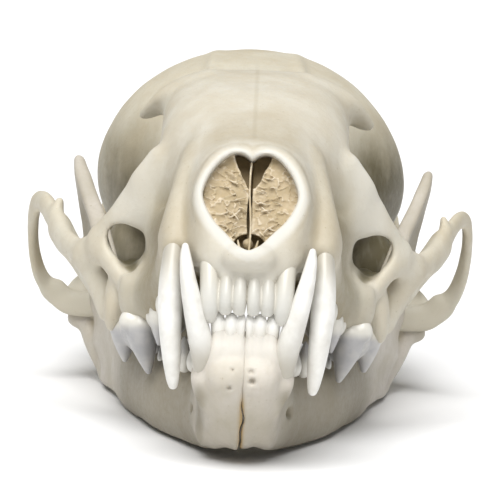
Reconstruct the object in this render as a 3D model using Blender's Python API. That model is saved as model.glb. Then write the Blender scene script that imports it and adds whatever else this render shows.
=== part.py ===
"""Marten skull with its lower jaw, life size, teeth closed, resting on the lower edge of the jaw.

The skull is shaped in millimetres in its own anatomical frame: x runs to the animal's left, y runs back
from the front of the upper incisor sockets and z runs up from the line of those sockets. A parent empty
then tips the skull back until the lower edge of the jaw lies on the floor, in metres.
"""

import math

import bmesh
import bpy
import numpy as np
from mathutils import Euler, Matrix, Vector

# Driving dimensions, in millimetres
GAP = 0.3                    # clearance between neighbouring pieces
SKIN_VOXEL = 0.42            # grain at which clay shapes fuse into bone
CUP_CLEARANCE = 0.9          # round the jaw's hinge, before the cup is smoothed
REST_TILT = 10.2             # degrees nose-up, jaw standing on its lower edge
CREASE = 40                  # degrees past which an edge stays sharp
DOME = (0.5, 0.87, 1.0)      # stations of a bar's rounded end, in shares of its radius
MM = 0.001

# Triangles left in the bone before its teeth go in
CRANIUM_TRIANGLES = 2400
MANDIBLE_TRIANGLES = 480

# Where the cranium is parted into named regions
FACE_BACK = 38.5
ARCH_FRONT, ARCH_BACK = 32.5, 57.6
ARCH_INSIDE_FRONT, ARCH_INSIDE_BACK = 14.0, 19.6
ARCH_FLOOR, ARCH_CEILING = -12.0, 20.0
OUTSIDE = 30.0
BULLA_INSIDE, BULLA_OUTSIDE = 3.5, 14.4
BULLA_FRONT, BULLA_BACK = 60.0, 77.2
BULLA_TOP = 2.2

# Cranium cross-sections along y: (y, bottom z, top z, half width low, half width high, squareness)
CORE = (
    (1.2, 0.0, 2.8, 2.8, 2.2, 2.3),
    (2.6, -0.8, 5.6, 5.0, 4.4, 2.5),
    (5.2, -0.6, 12.0, 6.6, 5.4, 2.6),
    (10.0, 0.0, 14.3, 7.4, 6.2, 2.7),
    (16.0, 0.4, 17.0, 8.6, 7.8, 2.7),
    (20.0, 0.6, 19.1, 10.2, 9.2, 2.6),
    (22.5, 0.8, 20.3, 9.4, 10.2, 2.6),
    (26.0, 0.8, 21.6, 6.8, 11.4, 2.6),
    (30.0, 1.0, 23.0, 5.6, 12.0, 2.6),
    (35.0, 1.4, 24.0, 4.4, 12.4, 2.8),
    (38.5, 2.0, 24.5, 4.4, 11.4, 2.8),
    (42.0, 2.6, 24.7, 6.0, 9.6, 2.5),
    (46.0, 3.2, 25.2, 8.8, 9.6, 2.2),
    (50.0, 3.6, 26.4, 12.4, 11.8, 2.1),
    (55.0, 3.6, 28.4, 16.8, 14.6, 2.05),
    (62.0, 3.1, 30.5, 19.2, 16.4, 2.05),
    (69.0, 3.0, 31.0, 19.4, 16.0, 2.05),
    (75.0, 3.2, 30.1, 17.6, 14.4, 2.1),
    (79.0, 3.8, 28.2, 15.2, 13.0, 2.2),
    (82.5, 5.0, 26.4, 12.8, 10.6, 2.3),
    (84.4, 6.6, 25.4, 8.8, 7.2, 2.4),
)

# Swept bars, as rows of (x, y, z, half thickness, half height), for the side with positive x
TOOTH_BANK = (
    (6.6, 6.4, 2.2, 1.9, 2.2),
    (7.4, 10.4, 1.0, 1.7, 2.4),
    (8.4, 15.0, -0.6, 1.6, 2.6),
    (9.9, 20.0, -1.0, 1.7, 3.1),
    (11.5, 25.0, -0.7, 1.7, 3.4),
    (12.2, 30.0, -0.2, 2.0, 2.8),
    (10.5, 33.5, 0.8, 1.8, 1.8),
)
CANINE_JUGUM = (
    (7.28, 6.4, 2.7, 1.7, 2.1),
    (7.25, 7.2, 5.0, 1.6, 1.9),
    (7.0, 9.0, 7.6, 1.4, 1.6),
    (6.5, 11.0, 9.8, 1.1, 1.3),
    (5.8, 13.2, 11.6, 0.9, 1.0),
)
NASAL_RIM = (
    (0.0, 2.5, 1.0, 0.9, 0.9),
    (1.9, 2.6, 1.8, 0.9, 0.9),
    (3.8, 3.1, 4.2, 0.9, 0.9),
    (4.8, 3.9, 7.2, 0.8, 0.8),
    (4.2, 4.7, 9.8, 0.7, 0.7),
    (2.6, 5.3, 11.4, 0.7, 0.7),
    (0.0, 5.4, 11.4, 0.7, 0.7),
)
INCISOR_BANK = (
    (0.0, 3.1, -0.1, 1.1, 1.3),
    (1.9, 3.3, -0.1, 1.1, 1.3),
    (3.4, 4.0, 0.4, 1.1, 1.2),
)
MAXILLA_WALL = (
    (7.4, 11.0, 4.4, 1.0, 3.0),
    (8.5, 16.0, 3.6, 1.2, 3.4),
    (9.2, 21.0, 3.4, 1.3, 3.8),
    (8.8, 26.0, 4.2, 1.2, 3.4),
)
ANTORBITAL_BAR = (
    (8.4, 20.2, 11.2, 1.4, 3.0),
    (10.5, 21.2, 8.9, 1.3, 2.9),
    (12.0, 22.4, 7.5, 1.2, 2.4),
    (13.6, 23.8, 6.2, 1.1, 1.8),
    (15.4, 26.4, 4.7, 1.1, 1.5),
)
ZYGOMATIC_ARCH = (
    (11.9, 21.8, -1.0, 1.1, 1.1),
    (13.3, 22.9, 0.8, 1.0, 1.1),
    (14.8, 24.8, 2.5, 1.0, 1.3),
    (16.2, 27.4, 3.4, 1.1, 1.6),
    (17.8, 30.6, 3.5, 1.1, 1.5),
    (19.6, 34.4, 4.8, 1.0, 1.5),
    (21.1, 38.6, 7.3, 0.95, 1.45),
    (22.6, 43.2, 9.5, 0.85, 1.3),
    (23.9, 48.0, 9.6, 0.8, 1.3),
    (24.4, 51.5, 7.4, 0.8, 1.35),
    (24.1, 54.2, 4.4, 0.8, 1.35),
    (23.1, 56.4, 1.8, 0.9, 1.3),
    (21.0, 58.6, 0.2, 1.6, 1.4),
    (16.5, 61.2, 1.8, 2.6, 1.6),
)
MASSETER_SHEET = (
    (13.6, 30.2, -2.6, 1.4, 1.5),
    (15.4, 31.6, -0.3, 1.1, 1.5),
    (17.8, 34.2, 2.7, 1.0, 1.4),
    (20.3, 38.0, 6.1, 0.9, 1.3),
)
JUGAL_SPUR = (
    (21.0, 38.6, 8.0, 0.8, 1.0),
    (20.7, 38.6, 9.9, 0.55, 0.6),
)
POSTORBITAL_PROCESS = (
    (5.0, 35.0, 20.9, 4.5, 2.8),
    (8.6, 36.0, 20.8, 3.2, 1.7),
    (10.7, 36.9, 19.9, 1.8, 1.0),
    (12.4, 37.8, 18.8, 0.8, 0.6),
)
EAR_SHELF = (
    (13.6, 57.6, 6.0, 2.6, 3.4),
    (15.4, 60.5, 5.0, 3.4, 2.8),
    (16.2, 64.6, 6.2, 3.8, 2.6),
    (16.2, 69.0, 7.6, 3.8, 2.4),
    (15.4, 73.0, 8.0, 3.4, 2.6),
)
NUCHAL_CREST = (
    (17.6, 71.8, 6.4, 1.2, 2.2),
    (16.9, 75.4, 11.6, 1.1, 2.0),
    (14.0, 79.0, 17.6, 1.0, 1.9),
    (9.0, 82.2, 22.8, 1.0, 1.8),
    (3.6, 84.2, 25.6, 1.0, 1.8),
    (0.0, 84.7, 26.1, 1.0, 1.8),
)
OCCIPITAL_RIDGE = (
    (0.0, 84.6, 25.0, 0.7, 0.8),
    (0.0, 85.4, 20.5, 0.7, 0.8),
    (0.0, 85.4, 16.0, 0.7, 0.6),
)
OCCIPITAL_CONDYLE = (
    (2.4, 82.6, 3.8, 1.4, 1.5),
    (5.0, 84.8, 5.4, 1.8, 1.9),
    (6.5, 85.2, 8.2, 1.8, 1.9),
    (6.4, 83.8, 11.0, 1.3, 1.5),
)
TEMPORAL_LINE = (
    (11.4, 37.8, 19.6, 0.7, 0.7),
    (8.8, 40.6, 22.0, 0.6, 0.6),
    (6.2, 45.0, 23.7, 0.6, 0.6),
    (5.2, 51.0, 26.0, 0.6, 0.6),
    (4.9, 57.0, 28.2, 0.6, 0.6),
    (4.6, 64.0, 29.7, 0.6, 0.6),
    (3.6, 71.0, 30.1, 0.6, 0.6),
    (1.8, 77.0, 28.8, 0.6, 0.6),
)
SAGITTAL_CREST = (
    (0.0, 70.0, 30.2, 0.8, 0.5),
    (0.0, 76.0, 29.3, 0.8, 0.9),
    (0.0, 81.0, 27.4, 0.8, 1.3),
    (0.0, 84.4, 25.8, 0.8, 1.6),
)
PTERYGOID_PLATE = (
    (3.9, 37.5, 2.6, 0.8, 2.0),
    (3.8, 45.0, 2.6, 0.6, 2.4),
    (3.8, 51.0, 1.8, 0.6, 2.0),
    (4.2, 55.0, 0.4, 0.5, 0.7),
)

# Rounded masses, as (x, y, z), (radius x, y, z), turn about z in degrees
LOWER_CANINE_BOSS = ((3.4, 6.2, -10.8), (2.15, 2.9, 3.3), 0)
LOWER_INCISOR_BANK = ((1.3, 4.1, -8.0), (2.9, 1.5, 2.8), 0)
MOLAR_ROOTS = (
    ((11.2, 20.7, -0.9), (1.7, 1.5, 3.3), 0),
    ((13.2, 25.4, -0.9), (1.4, 2.2, 3.5), 0),
    ((13.2, 29.6, -0.6), (1.6, 2.0, 3.0), 0),
)
MASTOID = ((17.8, 72.0, 5.4), (2.6, 3.2, 3.8), 0)
PAROCCIPITAL = ((12.2, 78.6, 4.6), (1.6, 1.9, 3.9), 0)
BULLA = ((9.2, 68.6, 0.8), (4.7, 8.3, 4.9), 13)
EAR_TUBE = ((14.6, 66.4, 2.8), (3.8, 2.5, 2.5), 0)
GLENOID_BLOCK = ((16.6, 60.8, 1.6), (4.0, 3.2, 2.0), 0)
BASIOCCIPITAL = ((0.0, 72.0, 4.4), (5.2, 13.0, 2.2), 0)

# Hollows
INFRAORBITAL_HOLE = (
    (12.4, 13.0, 2.4, 2.3, 2.3),
    (12.4, 17.5, 2.8, 2.0, 2.2),
    (12.5, 21.0, 3.4, 1.9, 2.2),
    (12.7, 25.0, 4.8, 2.0, 2.2),
    (13.0, 32.0, 8.4, 2.8, 3.2),
)
FORAMEN_MAGNUM = ((0.0, 85.0, 10.4), (5.2, 13.0, 4.2), 0)
CHOANA = (
    (0.0, 36.0, 2.8, 2.0, 1.3),
    (0.0, 42.0, 2.2, 2.9, 2.0),
    (0.0, 56.0, 1.4, 3.0, 2.2),
)
EAR_HOLE = ((18.8, 66.0, 3.4), (2.8, 1.3, 1.3), 0)
NASAL_DEPTH = 14.0
NASAL_HALF_WIDTH = 4.5
NASAL_LOW, NASAL_WIDEST, NASAL_NOTCH, NASAL_HIGH = 1.9, 7.4, 10.7, 11.5
NASAL_TAPER = 0.3            # how much the opening narrows towards its foot
TURBINATE_FRONT = 4.6
SEPTUM_FRONT, SEPTUM_HALF = 3.8, 0.3

# Lower jaw, positive x side
JAW_BODY = (
    (1.5, 3.4, -10.0, 2.0, 1.9),
    (1.6, 5.0, -10.4, 2.2, 2.9),
    (1.7, 7.4, -11.2, 2.3, 3.6),
    (2.2, 10.0, -12.3, 2.3, 4.1),
    (2.9, 13.8, -12.5, 2.3, 4.1),
    (5.0, 18.6, -11.9, 2.1, 4.1),
    (7.9, 25.0, -10.9, 2.0, 4.0),
    (10.1, 31.5, -9.7, 1.7, 3.9),
    (12.0, 38.0, -8.6, 1.4, 3.9),
    (13.5, 43.0, -7.5, 1.0, 3.3),
)
SYMPHYSIS = (
    (0.3, 3.6, -9.6, 2.1, 1.7),
    (0.3, 5.6, -10.8, 2.3, 3.0),
    (0.3, 9.0, -12.6, 2.1, 3.9),
    (0.5, 12.8, -13.5, 1.8, 3.1),
)
# Outline of the jaw's upright plate seen from the side: (y, z)
RAMUS = (
    (33.0, -7.6), (36.4, -7.0), (38.8, -3.8), (40.8, -0.2), (43.6, 4.8), (46.6, 9.8),
    (48.8, 13.4), (50.7, 15.7), (51.9, 15.5), (52.8, 13.6), (53.3, 10.6), (53.2, 6.8),
    (53.9, 3.0), (55.4, 0.4), (57.6, -0.6), (59.4, -0.8), (59.8, -2.4), (58.9, -4.0),
    (58.2, -5.4), (58.8, -6.8), (60.0, -7.8), (59.4, -8.9), (56.0, -9.6), (50.0, -10.2),
    (44.0, -11.4), (38.0, -12.6), (33.0, -13.2),
)

# How far out that plate stands: (z, x at RAMUS_MIDDLE, x gained with each millimetre back)
RAMUS_PLACE = (
    (-13.0, 14.0, 0.24),
    (-8.0, 14.8, 0.26),
    (-5.0, 16.0, 0.28),
    (-2.0, 16.8, 0.28),
    (3.0, 17.3, 0.26),
    (8.5, 18.1, 0.2),
    (12.0, 18.9, 0.12),
    (14.5, 19.6, 0.08),
    (17.0, 20.1, 0.06),
)
RAMUS_MIDDLE, RAMUS_TURN = 50.0, 2.6

# Half thickness of that plate by height
RAMUS_THICKNESS = ((-12.0, 1.05), (0.0, 0.9), (10.0, 0.85), (15.4, 0.6))
JAW_CONDYLE = (
    (13.4, 59.3, -1.4, 1.1, 1.1),
    (16.6, 59.0, -1.6, 1.4, 1.4),
    (19.6, 58.5, -2.1, 1.1, 1.1),
)

# Canines, from root end to tip: (x, y, z, half thickness, half depth)
UPPER_CANINE = (
    (7.12, 7.2, 3.6, 1.0, 1.5),
    (7.22, 5.9, 1.5, 1.05, 1.65),
    (7.28, 5.1, -1.2, 1.17, 1.72),
    (7.24, 4.9, -4.0, 1.14, 1.52),
    (7.0, 5.2, -7.2, 0.98, 1.2),
    (6.74, 6.0, -9.9, 0.66, 0.75),
    (6.64, 6.4, -11.1, 0.28, 0.32),
)
LOWER_CANINE = (
    (3.3, 6.9, -11.2, 1.15, 1.45),
    (3.55, 5.3, -9.2, 1.22, 1.58),
    (4.2, 3.4, -6.4, 1.16, 1.47),
    (5.0, 2.2, -3.4, 0.98, 1.22),
    (5.6, 2.0, -0.8, 0.78, 0.97),
    (5.92, 2.5, 1.2, 0.57, 0.68),
    (6.04, 3.1, 2.6, 0.26, 0.3),
)

# Incisors of the left side: (x, y, half width, lean forward, z of tip)
UPPER_GUM = -0.2
UPPER_INCISORS = (
    (0.66, 2.1, 0.6, 0.6, -4.1),
    (1.94, 2.3, 0.6, 0.6, -4.1),
    (3.5, 2.8, 0.88, 0.7, -4.9),
)
LOWER_GUM = -6.6
LOWER_INCISORS = (
    (0.56, 3.1, 0.36, 0.2, -3.85),
    (1.4, 3.2, 0.46, 0.2, -3.85),
    (2.58, 3.6, 0.6, 0.2, -3.8),
)

# Cheek teeth cusps: (x, y, z of gum, half thickness, half length, x, y, z of tip)
UPPER_CUSPS = (
    (8.1, 13.0, -1.8, 0.85, 1.5, 8.0, 12.8, -4.9),
    (8.7, 16.4, -2.6, 1.0, 2.0, 8.5, 16.0, -6.6),
    (10.7, 21.6, -3.4, 1.5, 2.4, 9.6, 22.3, -9.3),
    (12.4, 26.0, -3.2, 1.4, 2.4, 12.3, 26.8, -7.9),
    (12.9, 29.0, -2.8, 1.4, 1.8, 12.9, 28.9, -6.4),
    (9.6, 30.0, -1.4, 2.6, 1.9, 7.8, 30.1, -4.4),
)
LOWER_CUSPS = (
    (4.9, 12.4, -8.7, 0.8, 1.3, 5.0, 12.1, -6.5),
    (5.9, 15.8, -8.6, 0.9, 1.6, 6.0, 15.5, -5.6),
    (6.9, 19.8, -8.4, 1.0, 1.9, 7.0, 19.5, -4.9),
    (7.9, 24.4, -8.0, 1.1, 1.8, 7.8, 24.2, -5.0),
    (8.6, 27.3, -7.8, 1.2, 1.9, 8.7, 27.5, -3.6),
    (9.4, 31.2, -7.2, 1.3, 2.0, 9.5, 30.8, -5.7),
)

# Colour and roughness of each kind of piece
BONE, SHADED_BONE = (0.60, 0.56, 0.45), (0.50, 0.46, 0.35)
LOOKS = {
    "face": (BONE, 0.5),
    "braincase": (BONE, 0.55),
    "zygomatic_arch": (BONE, 0.5),
    "auditory_bulla": (BONE, 0.5),
    "nasal_septum": (SHADED_BONE, 0.6),
    "turbinates": (SHADED_BONE, 0.7),
    "mandible": (BONE, 0.5),
    "upper_canine": ((0.80, 0.79, 0.75), 0.25),
    "lower_canine": ((0.80, 0.79, 0.75), 0.25),
}


def smooth_rows(rows, steps):
    """Rows read from a Catmull-Rom curve through the given rows, steps between each two."""
    knots = np.array([rows[0], *rows, rows[-1]], float)
    knots[0] = 2 * knots[1] - knots[2]
    knots[-1] = 2 * knots[-2] - knots[-3]
    made = []
    for a, b, c, d in zip(knots, knots[1:], knots[2:], knots[3:]):
        for t in np.arange(steps) / steps:
            made.append(
                0.5 * (2 * b + (c - a) * t + (2 * a - 5 * b + 4 * c - d) * t**2
                       + (3 * b - a - 3 * c + d) * t**3)
            )
    made.append(np.array(rows[-1], float))
    return np.array(made)


def mirrored(rows):
    """The same rows on the other side of the skull."""
    return tuple((-row[0], *row[1:]) for row in rows)


def bridge_rings(clay, rings):
    """Skins a run of closed rings of points and caps both ends."""
    loops = [[clay.verts.new(point) for point in ring] for ring in rings]
    for ring, following in zip(loops, loops[1:]):
        count = len(ring)
        for i in range(count):
            j = (i + 1) % count
            clay.faces.new((ring[i], ring[j], following[j], following[i]))
    clay.faces.new(loops[0][::-1])
    clay.faces.new(loops[-1])


def with_domes(stations):
    """The stations carried on past both ends, drawing in to a rounded end."""
    domes = []
    for end, inward in ((stations[0], stations[1]), (stations[-1], stations[-2])):
        away = end[:3] - inward[:3]
        away *= min(end[3:]) / np.linalg.norm(away)
        domes.append([
            (*(end[:3] + away * t), *(end[3:] * max(0.15, math.sqrt(1 - t * t)))) for t in DOME
        ])
    return np.array([*domes[0][::-1], *stations, *domes[1]])


def add_bar(clay, rows, up=(0, 0, 1), steps=5, sides=16, grow=0.0, domed=False):
    """An elliptical bar through rows as in the tables above, its height along up."""
    stations = smooth_rows(rows, steps)
    if domed:
        stations = with_domes(stations)
    centres = stations[:, :3]
    runs = np.gradient(centres, axis=0)
    rings = []
    for centre, run, (thick, high) in zip(centres, runs, stations[:, 3:]):
        side = np.cross(run, up)
        side /= np.linalg.norm(side)
        rise = np.cross(side, run)
        rise /= np.linalg.norm(rise)
        turns = np.arange(sides) * math.tau / sides
        rings.append([
            centre + side * (thick + grow) * math.cos(a) + rise * (high + grow) * math.sin(a) for a in turns
        ])
    bridge_rings(clay, rings)


def add_mass(clay, centre, radii, turn=0.0):
    """An ellipsoid, turned about the vertical."""
    placed = (
        Matrix.Translation(centre)
        @ Matrix.Rotation(math.radians(turn), 4, "Z")
        @ Matrix.Diagonal((*radii, 1))
    )
    bmesh.ops.create_icosphere(clay, subdivisions=3, radius=1, matrix=placed)


def add_bar_pair(clay, rows, **settings):
    """A bar on each side of the middle plane."""
    add_bar(clay, rows, **settings)
    add_bar(clay, mirrored(rows), **settings)


def add_mass_pair(clay, mass):
    """An ellipsoid on each side of the middle plane."""
    centre, radii, turn = mass
    add_mass(clay, centre, radii, turn)
    add_mass(clay, (-centre[0], *centre[1:]), radii, -turn)


def core_ring(row, sides=48):
    """A rounded trapezoid, the cross-section of the cranium at one station."""
    y, bottom, top, low_width, high_width, squareness = row
    middle, half = (bottom + top) / 2, (top - bottom) / 2
    ring = []
    for a in np.arange(sides) * math.tau / sides:
        across = math.copysign(abs(math.cos(a)) ** (2 / squareness), math.cos(a))
        rise = math.copysign(abs(math.sin(a)) ** (2 / squareness), math.sin(a))
        width = low_width + (high_width - low_width) * (rise + 1) / 2
        ring.append((width * across, y, middle + half * rise))
    return ring


def nasal_ring(y, shrink, sides=32):
    """The heart-shaped outline of the nasal opening at one depth."""
    ring = []
    for a in np.arange(sides) * math.tau / sides:
        across, rise = math.sin(a), math.cos(a)
        if rise > 0:
            lobe = NASAL_NOTCH + (NASAL_HIGH - NASAL_NOTCH) * math.sin(math.pi * min(1, abs(across) * 1.15))
            z = NASAL_WIDEST + (lobe - NASAL_WIDEST) * rise**0.6
        else:
            z = NASAL_WIDEST + (NASAL_WIDEST - NASAL_LOW) * rise
            across *= 1 + NASAL_TAPER * rise
        ring.append((NASAL_HALF_WIDTH * across * shrink, y, NASAL_WIDEST + (z - NASAL_WIDEST) * shrink))
    return ring


def object_of(name, mesh):
    """A new object in the scene."""
    made = bpy.data.objects.new(name, mesh)
    bpy.context.scene.collection.objects.link(made)
    return made


def clay_object(name, fill):
    """An object whose shapes are put in by fill, still in millimetres."""
    clay = bmesh.new()
    fill(clay)
    bmesh.ops.recalc_face_normals(clay, faces=clay.faces)
    mesh = bpy.data.meshes.new(name)
    clay.to_mesh(mesh)
    clay.free()
    return object_of(name, mesh)


def settle(shape):
    """Applies the object's modifiers to its mesh."""
    bpy.context.view_layer.update()
    graph = bpy.context.evaluated_depsgraph_get()
    mesh = bpy.data.meshes.new_from_object(shape.evaluated_get(graph))
    shape.modifiers.clear()
    shape.data = mesh
    return shape


def fuse(shape, smoothing):
    """Overlapping clay becomes one skin, and its creases soften."""
    remesh = shape.modifiers.new("fuse", "REMESH")
    remesh.mode = "VOXEL"
    remesh.voxel_size = SKIN_VOXEL
    soften = shape.modifiers.new("soften", "SMOOTH")
    soften.factor = 0.5
    soften.iterations = smoothing
    return settle(shape)


def add_clay(shape, fill):
    """More clay laid on a fused shape."""
    more = clay_object("more", fill)
    clay = bmesh.new()
    clay.from_mesh(shape.data)
    clay.from_mesh(more.data)
    clay.to_mesh(shape.data)
    clay.free()
    bpy.data.objects.remove(more)
    return shape


def combine(shape, operation, fill):
    """Boolean of the shape with whatever fill makes."""
    tool = clay_object("tool", fill)
    cut = shape.modifiers.new("cut", "BOOLEAN")
    cut.operation = operation
    cut.solver = "EXACT"
    cut.object = tool
    settle(shape)
    bpy.data.objects.remove(tool)
    return shape


def thin_out(shape, triangles):
    """Collapses edges until about this many triangles are left."""
    shape.data.calc_loop_triangles()
    collapse = shape.modifiers.new("thin", "DECIMATE")
    collapse.ratio = min(1.0, triangles / len(shape.data.loop_triangles))
    return settle(shape)


def block(low, high):
    """Fills clay with a box between two corners."""
    centre = [(a + b) / 2 for a, b in zip(low, high)]
    size = [b - a for a, b in zip(low, high)]
    return lambda clay: bmesh.ops.create_cube(
        clay, matrix=Matrix.Translation(centre) @ Matrix.Diagonal((*size, 1))
    )


def arch_region(side, margin):
    """The wedge beside the braincase that holds one zygomatic arch, widened by margin."""
    front, back = ARCH_FRONT - margin, ARCH_BACK + margin
    outline = (
        (ARCH_INSIDE_FRONT, front), (OUTSIDE, front), (OUTSIDE, back), (ARCH_INSIDE_BACK, back)
    )

    def fill(clay):
        bridge_rings(clay, [[(side * x, y, z) for x, y in outline] for z in (ARCH_FLOOR, ARCH_CEILING)])

    return fill


def bulla_region(side, margin):
    """The box below the skull base that holds one auditory bulla, widened by margin."""
    xs = sorted((side * (BULLA_INSIDE - margin), side * (BULLA_OUTSIDE + margin)))
    return block(
        (xs[0], BULLA_FRONT - margin, ARCH_FLOOR), (xs[1], BULLA_BACK + margin, BULLA_TOP + margin)
    )


def cranium_mass(clay):
    """The brain, brow and snout, without bars and ridges."""
    bridge_rings(clay, [core_ring(row) for row in smooth_rows(CORE, 4)])
    add_bar_pair(clay, TOOTH_BANK, domed=True)
    add_bar_pair(clay, MAXILLA_WALL, domed=True)
    add_mass_pair(clay, MASTOID)
    add_mass(clay, *BASIOCCIPITAL)


def cranium_bars(clay):
    """Bars, crests and bosses that stand out from the cranium."""
    add_bar_pair(clay, CANINE_JUGUM, up=(0, 1, 0), domed=True)
    add_bar_pair(clay, NASAL_RIM, up=(0, 1, 0), domed=True)
    for rows in (ANTORBITAL_BAR, ZYGOMATIC_ARCH, MASSETER_SHEET, POSTORBITAL_PROCESS, INCISOR_BANK):
        add_bar_pair(clay, rows, domed=True)
    for rows in (EAR_SHELF, NUCHAL_CREST, TEMPORAL_LINE, PTERYGOID_PLATE):
        add_bar_pair(clay, rows, domed=True)
    for rows in (JUGAL_SPUR, OCCIPITAL_CONDYLE):
        add_bar_pair(clay, rows, up=(0, 1, 0), domed=True)
    add_bar(clay, OCCIPITAL_RIDGE)
    add_bar(clay, SAGITTAL_CREST)
    for mass in (*MOLAR_ROOTS, PAROCCIPITAL, BULLA, EAR_TUBE, GLENOID_BLOCK):
        add_mass_pair(clay, mass)


def cusp_rows(cusp):
    """Stations of one pointed cheek tooth, from inside its socket to its tip."""
    gum, tip = np.array(cusp[:3]), np.array(cusp[5:])
    thick, length = cusp[3:5]
    root = gum + (gum - tip) * 0.6
    return (
        (*root, thick * 0.8, length * 0.8),
        (*gum, thick, length),
        (*(gum + (tip - gum) * 0.55), thick * 0.7, length * 0.6),
        (*tip, thick * 0.15, length * 0.12),
    )


def incisor_rows(incisor, gum, tip):
    """Stations of one chisel-shaped incisor."""
    x, y, width, lean = incisor
    return (
        (x * 0.9, y + 1.6, gum + (gum - tip) * 0.6, width * 0.6, 0.9),
        (x, y + 0.2, gum, width * 0.8, 0.9),
        (x, y - lean * 0.6, (gum + tip) / 2, width, 0.75),
        (x, y - lean, tip, width * 0.85, 0.35),
    )


def tooth(rows):
    """Fills clay with one tooth."""
    return lambda clay: add_bar(clay, rows, up=(0, 1, 0), steps=1, sides=8)


def nasal_plug(clay, front, back, grow):
    """The nasal passage as a solid, from one depth to another."""
    rings = []
    for y in np.linspace(front, back, 4):
        narrowing = 1.03 - 0.012 * max(0.0, y)
        rings.append(nasal_ring(y, narrowing + grow / NASAL_HALF_WIDTH))
    bridge_rings(clay, rings)


def holes_in_cranium(clay):
    """Canal below each eye, throat, ear openings and the hinge cups of the jaw."""
    add_bar_pair(clay, INFRAORBITAL_HOLE)
    add_bar(clay, CHOANA)
    add_mass_pair(clay, EAR_HOLE)
    add_bar_pair(clay, JAW_CONDYLE, up=(0, 1, 0), grow=CUP_CLEARANCE)


def canine_room(rows):
    """The room a canine takes, with clearance all round and beyond the root."""
    root, following = np.array(rows[0]), np.array(rows[1])
    away = root[:3] - following[:3]
    deeper = root[:3] + away / np.linalg.norm(away) * 2 * GAP
    stations = ((*deeper, *root[3:]), *rows)
    return lambda clay: add_bar_pair(clay, stations, up=(0, 1, 0), steps=2, sides=10, grow=1.2 * GAP)


def make_cranium():
    """The whole upper skull in one piece, teeth included, canine sockets and nose open."""
    cranium = fuse(clay_object("cranium", cranium_mass), smoothing=14)
    fuse(add_clay(cranium, cranium_bars), smoothing=5)
    combine(cranium, "DIFFERENCE", holes_in_cranium)
    combine(cranium, "DIFFERENCE", lambda clay: add_mass(clay, *FORAMEN_MAGNUM))
    fuse(cranium, smoothing=1)
    thin_out(cranium, CRANIUM_TRIANGLES)
    combine(cranium, "DIFFERENCE", lambda clay: nasal_plug(clay, -3, NASAL_DEPTH, 0.0))
    for side in (1, -1):
        for incisor in UPPER_INCISORS:
            rows = incisor_rows((side * incisor[0], *incisor[1:4]), UPPER_GUM, incisor[4])
            combine(cranium, "UNION", tooth(rows))
        for cusp in UPPER_CUSPS:
            rows = cusp_rows(cusp)
            combine(cranium, "UNION", tooth(rows if side > 0 else mirrored(rows)))
    combine(cranium, "DIFFERENCE", canine_room(LOWER_CANINE))
    return combine(cranium, "DIFFERENCE", canine_room(UPPER_CANINE))


def ramus_middle(y, z):
    """How far out the middle of the jaw's upright plate lies."""
    level, place, slant = np.array(RAMUS_PLACE).T
    back = min(y - RAMUS_MIDDLE, RAMUS_TURN * math.tanh((y - RAMUS_MIDDLE) / RAMUS_TURN))
    return np.interp(z, level, place) + np.interp(z, level, slant) * back


def ramus_sheet(clay):
    """A curved sheet out of which the upright plate is cut."""
    level, thickness = np.array(RAMUS_THICKNESS).T
    run = np.arange(31.0, 63.0, 2.0)
    rings = []
    for z in np.arange(-16.0, 18.0, 1.5):
        half = np.interp(z, level, thickness)
        inner = [(ramus_middle(y, z) - half, y, z) for y in run]
        outer = [(ramus_middle(y, z) + half, y, z) for y in run[::-1]]
        rings.append(inner + outer)
    bridge_rings(clay, rings)


def ramus_outline(clay):
    """The upright plate's outline, as a prism across the sheet."""
    outline = smooth_rows((*RAMUS, RAMUS[0]), 2)[:-1]
    bridge_rings(clay, [[(x, y, z) for y, z in outline] for x in (5.0, OUTSIDE)])


def half_jaw(clay):
    """The bone of one half of the lower jaw, but for its upright plate."""
    for rows in (JAW_BODY, SYMPHYSIS):
        add_bar(clay, rows, domed=True)
    add_bar(clay, JAW_CONDYLE, up=(0, 1, 0), domed=True)
    for mass in (LOWER_CANINE_BOSS, LOWER_INCISOR_BANK):
        add_mass(clay, *mass)


def make_jaw():
    """The left half jaw; its flat front face lies along the middle plane."""
    jaw = combine(clay_object("jaw", ramus_sheet), "INTERSECT", ramus_outline)
    jaw = thin_out(fuse(add_clay(jaw, half_jaw), smoothing=4), MANDIBLE_TRIANGLES)
    for incisor in LOWER_INCISORS:
        combine(jaw, "UNION", tooth(incisor_rows(incisor[:4], LOWER_GUM, incisor[4])))
    for cusp in LOWER_CUSPS:
        combine(jaw, "UNION", tooth(cusp_rows(cusp)))
    combine(jaw, "DIFFERENCE", canine_room(LOWER_CANINE))
    return combine(jaw, "INTERSECT", block((GAP / 2, -5, -30), (40, 80, 30)))


def make_canine(rows):
    """A canine with the part of its root that stands in the socket."""
    return clay_object("canine", lambda clay: add_bar(clay, rows, up=(0, 1, 0), steps=2, sides=10))


def make_turbinate():
    """Left half of the curled bone in the nose, cut into leaves."""
    turbinate = clay_object(
        "turbinate", lambda clay: nasal_plug(clay, TURBINATE_FRONT, NASAL_DEPTH - GAP, -1.5 * GAP)
    )
    combine(turbinate, "INTERSECT", block((SEPTUM_HALF + GAP, -5, NASAL_LOW + 1), (9, 20, NASAL_HIGH - 1)))
    for z, tilt in ((4.6, 20), (6.2, 8), (7.8, -8), (9.4, -24)):
        groove = (
            Matrix.Translation((NASAL_HALF_WIDTH, TURBINATE_FRONT, z))
            @ Matrix.Rotation(math.radians(tilt), 4, "Y")
            @ Matrix.Diagonal((5.2, 5.0, 0.35, 1))
        )
        combine(turbinate, "DIFFERENCE", lambda clay: bmesh.ops.create_cube(clay, matrix=groove))
    return turbinate


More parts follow.
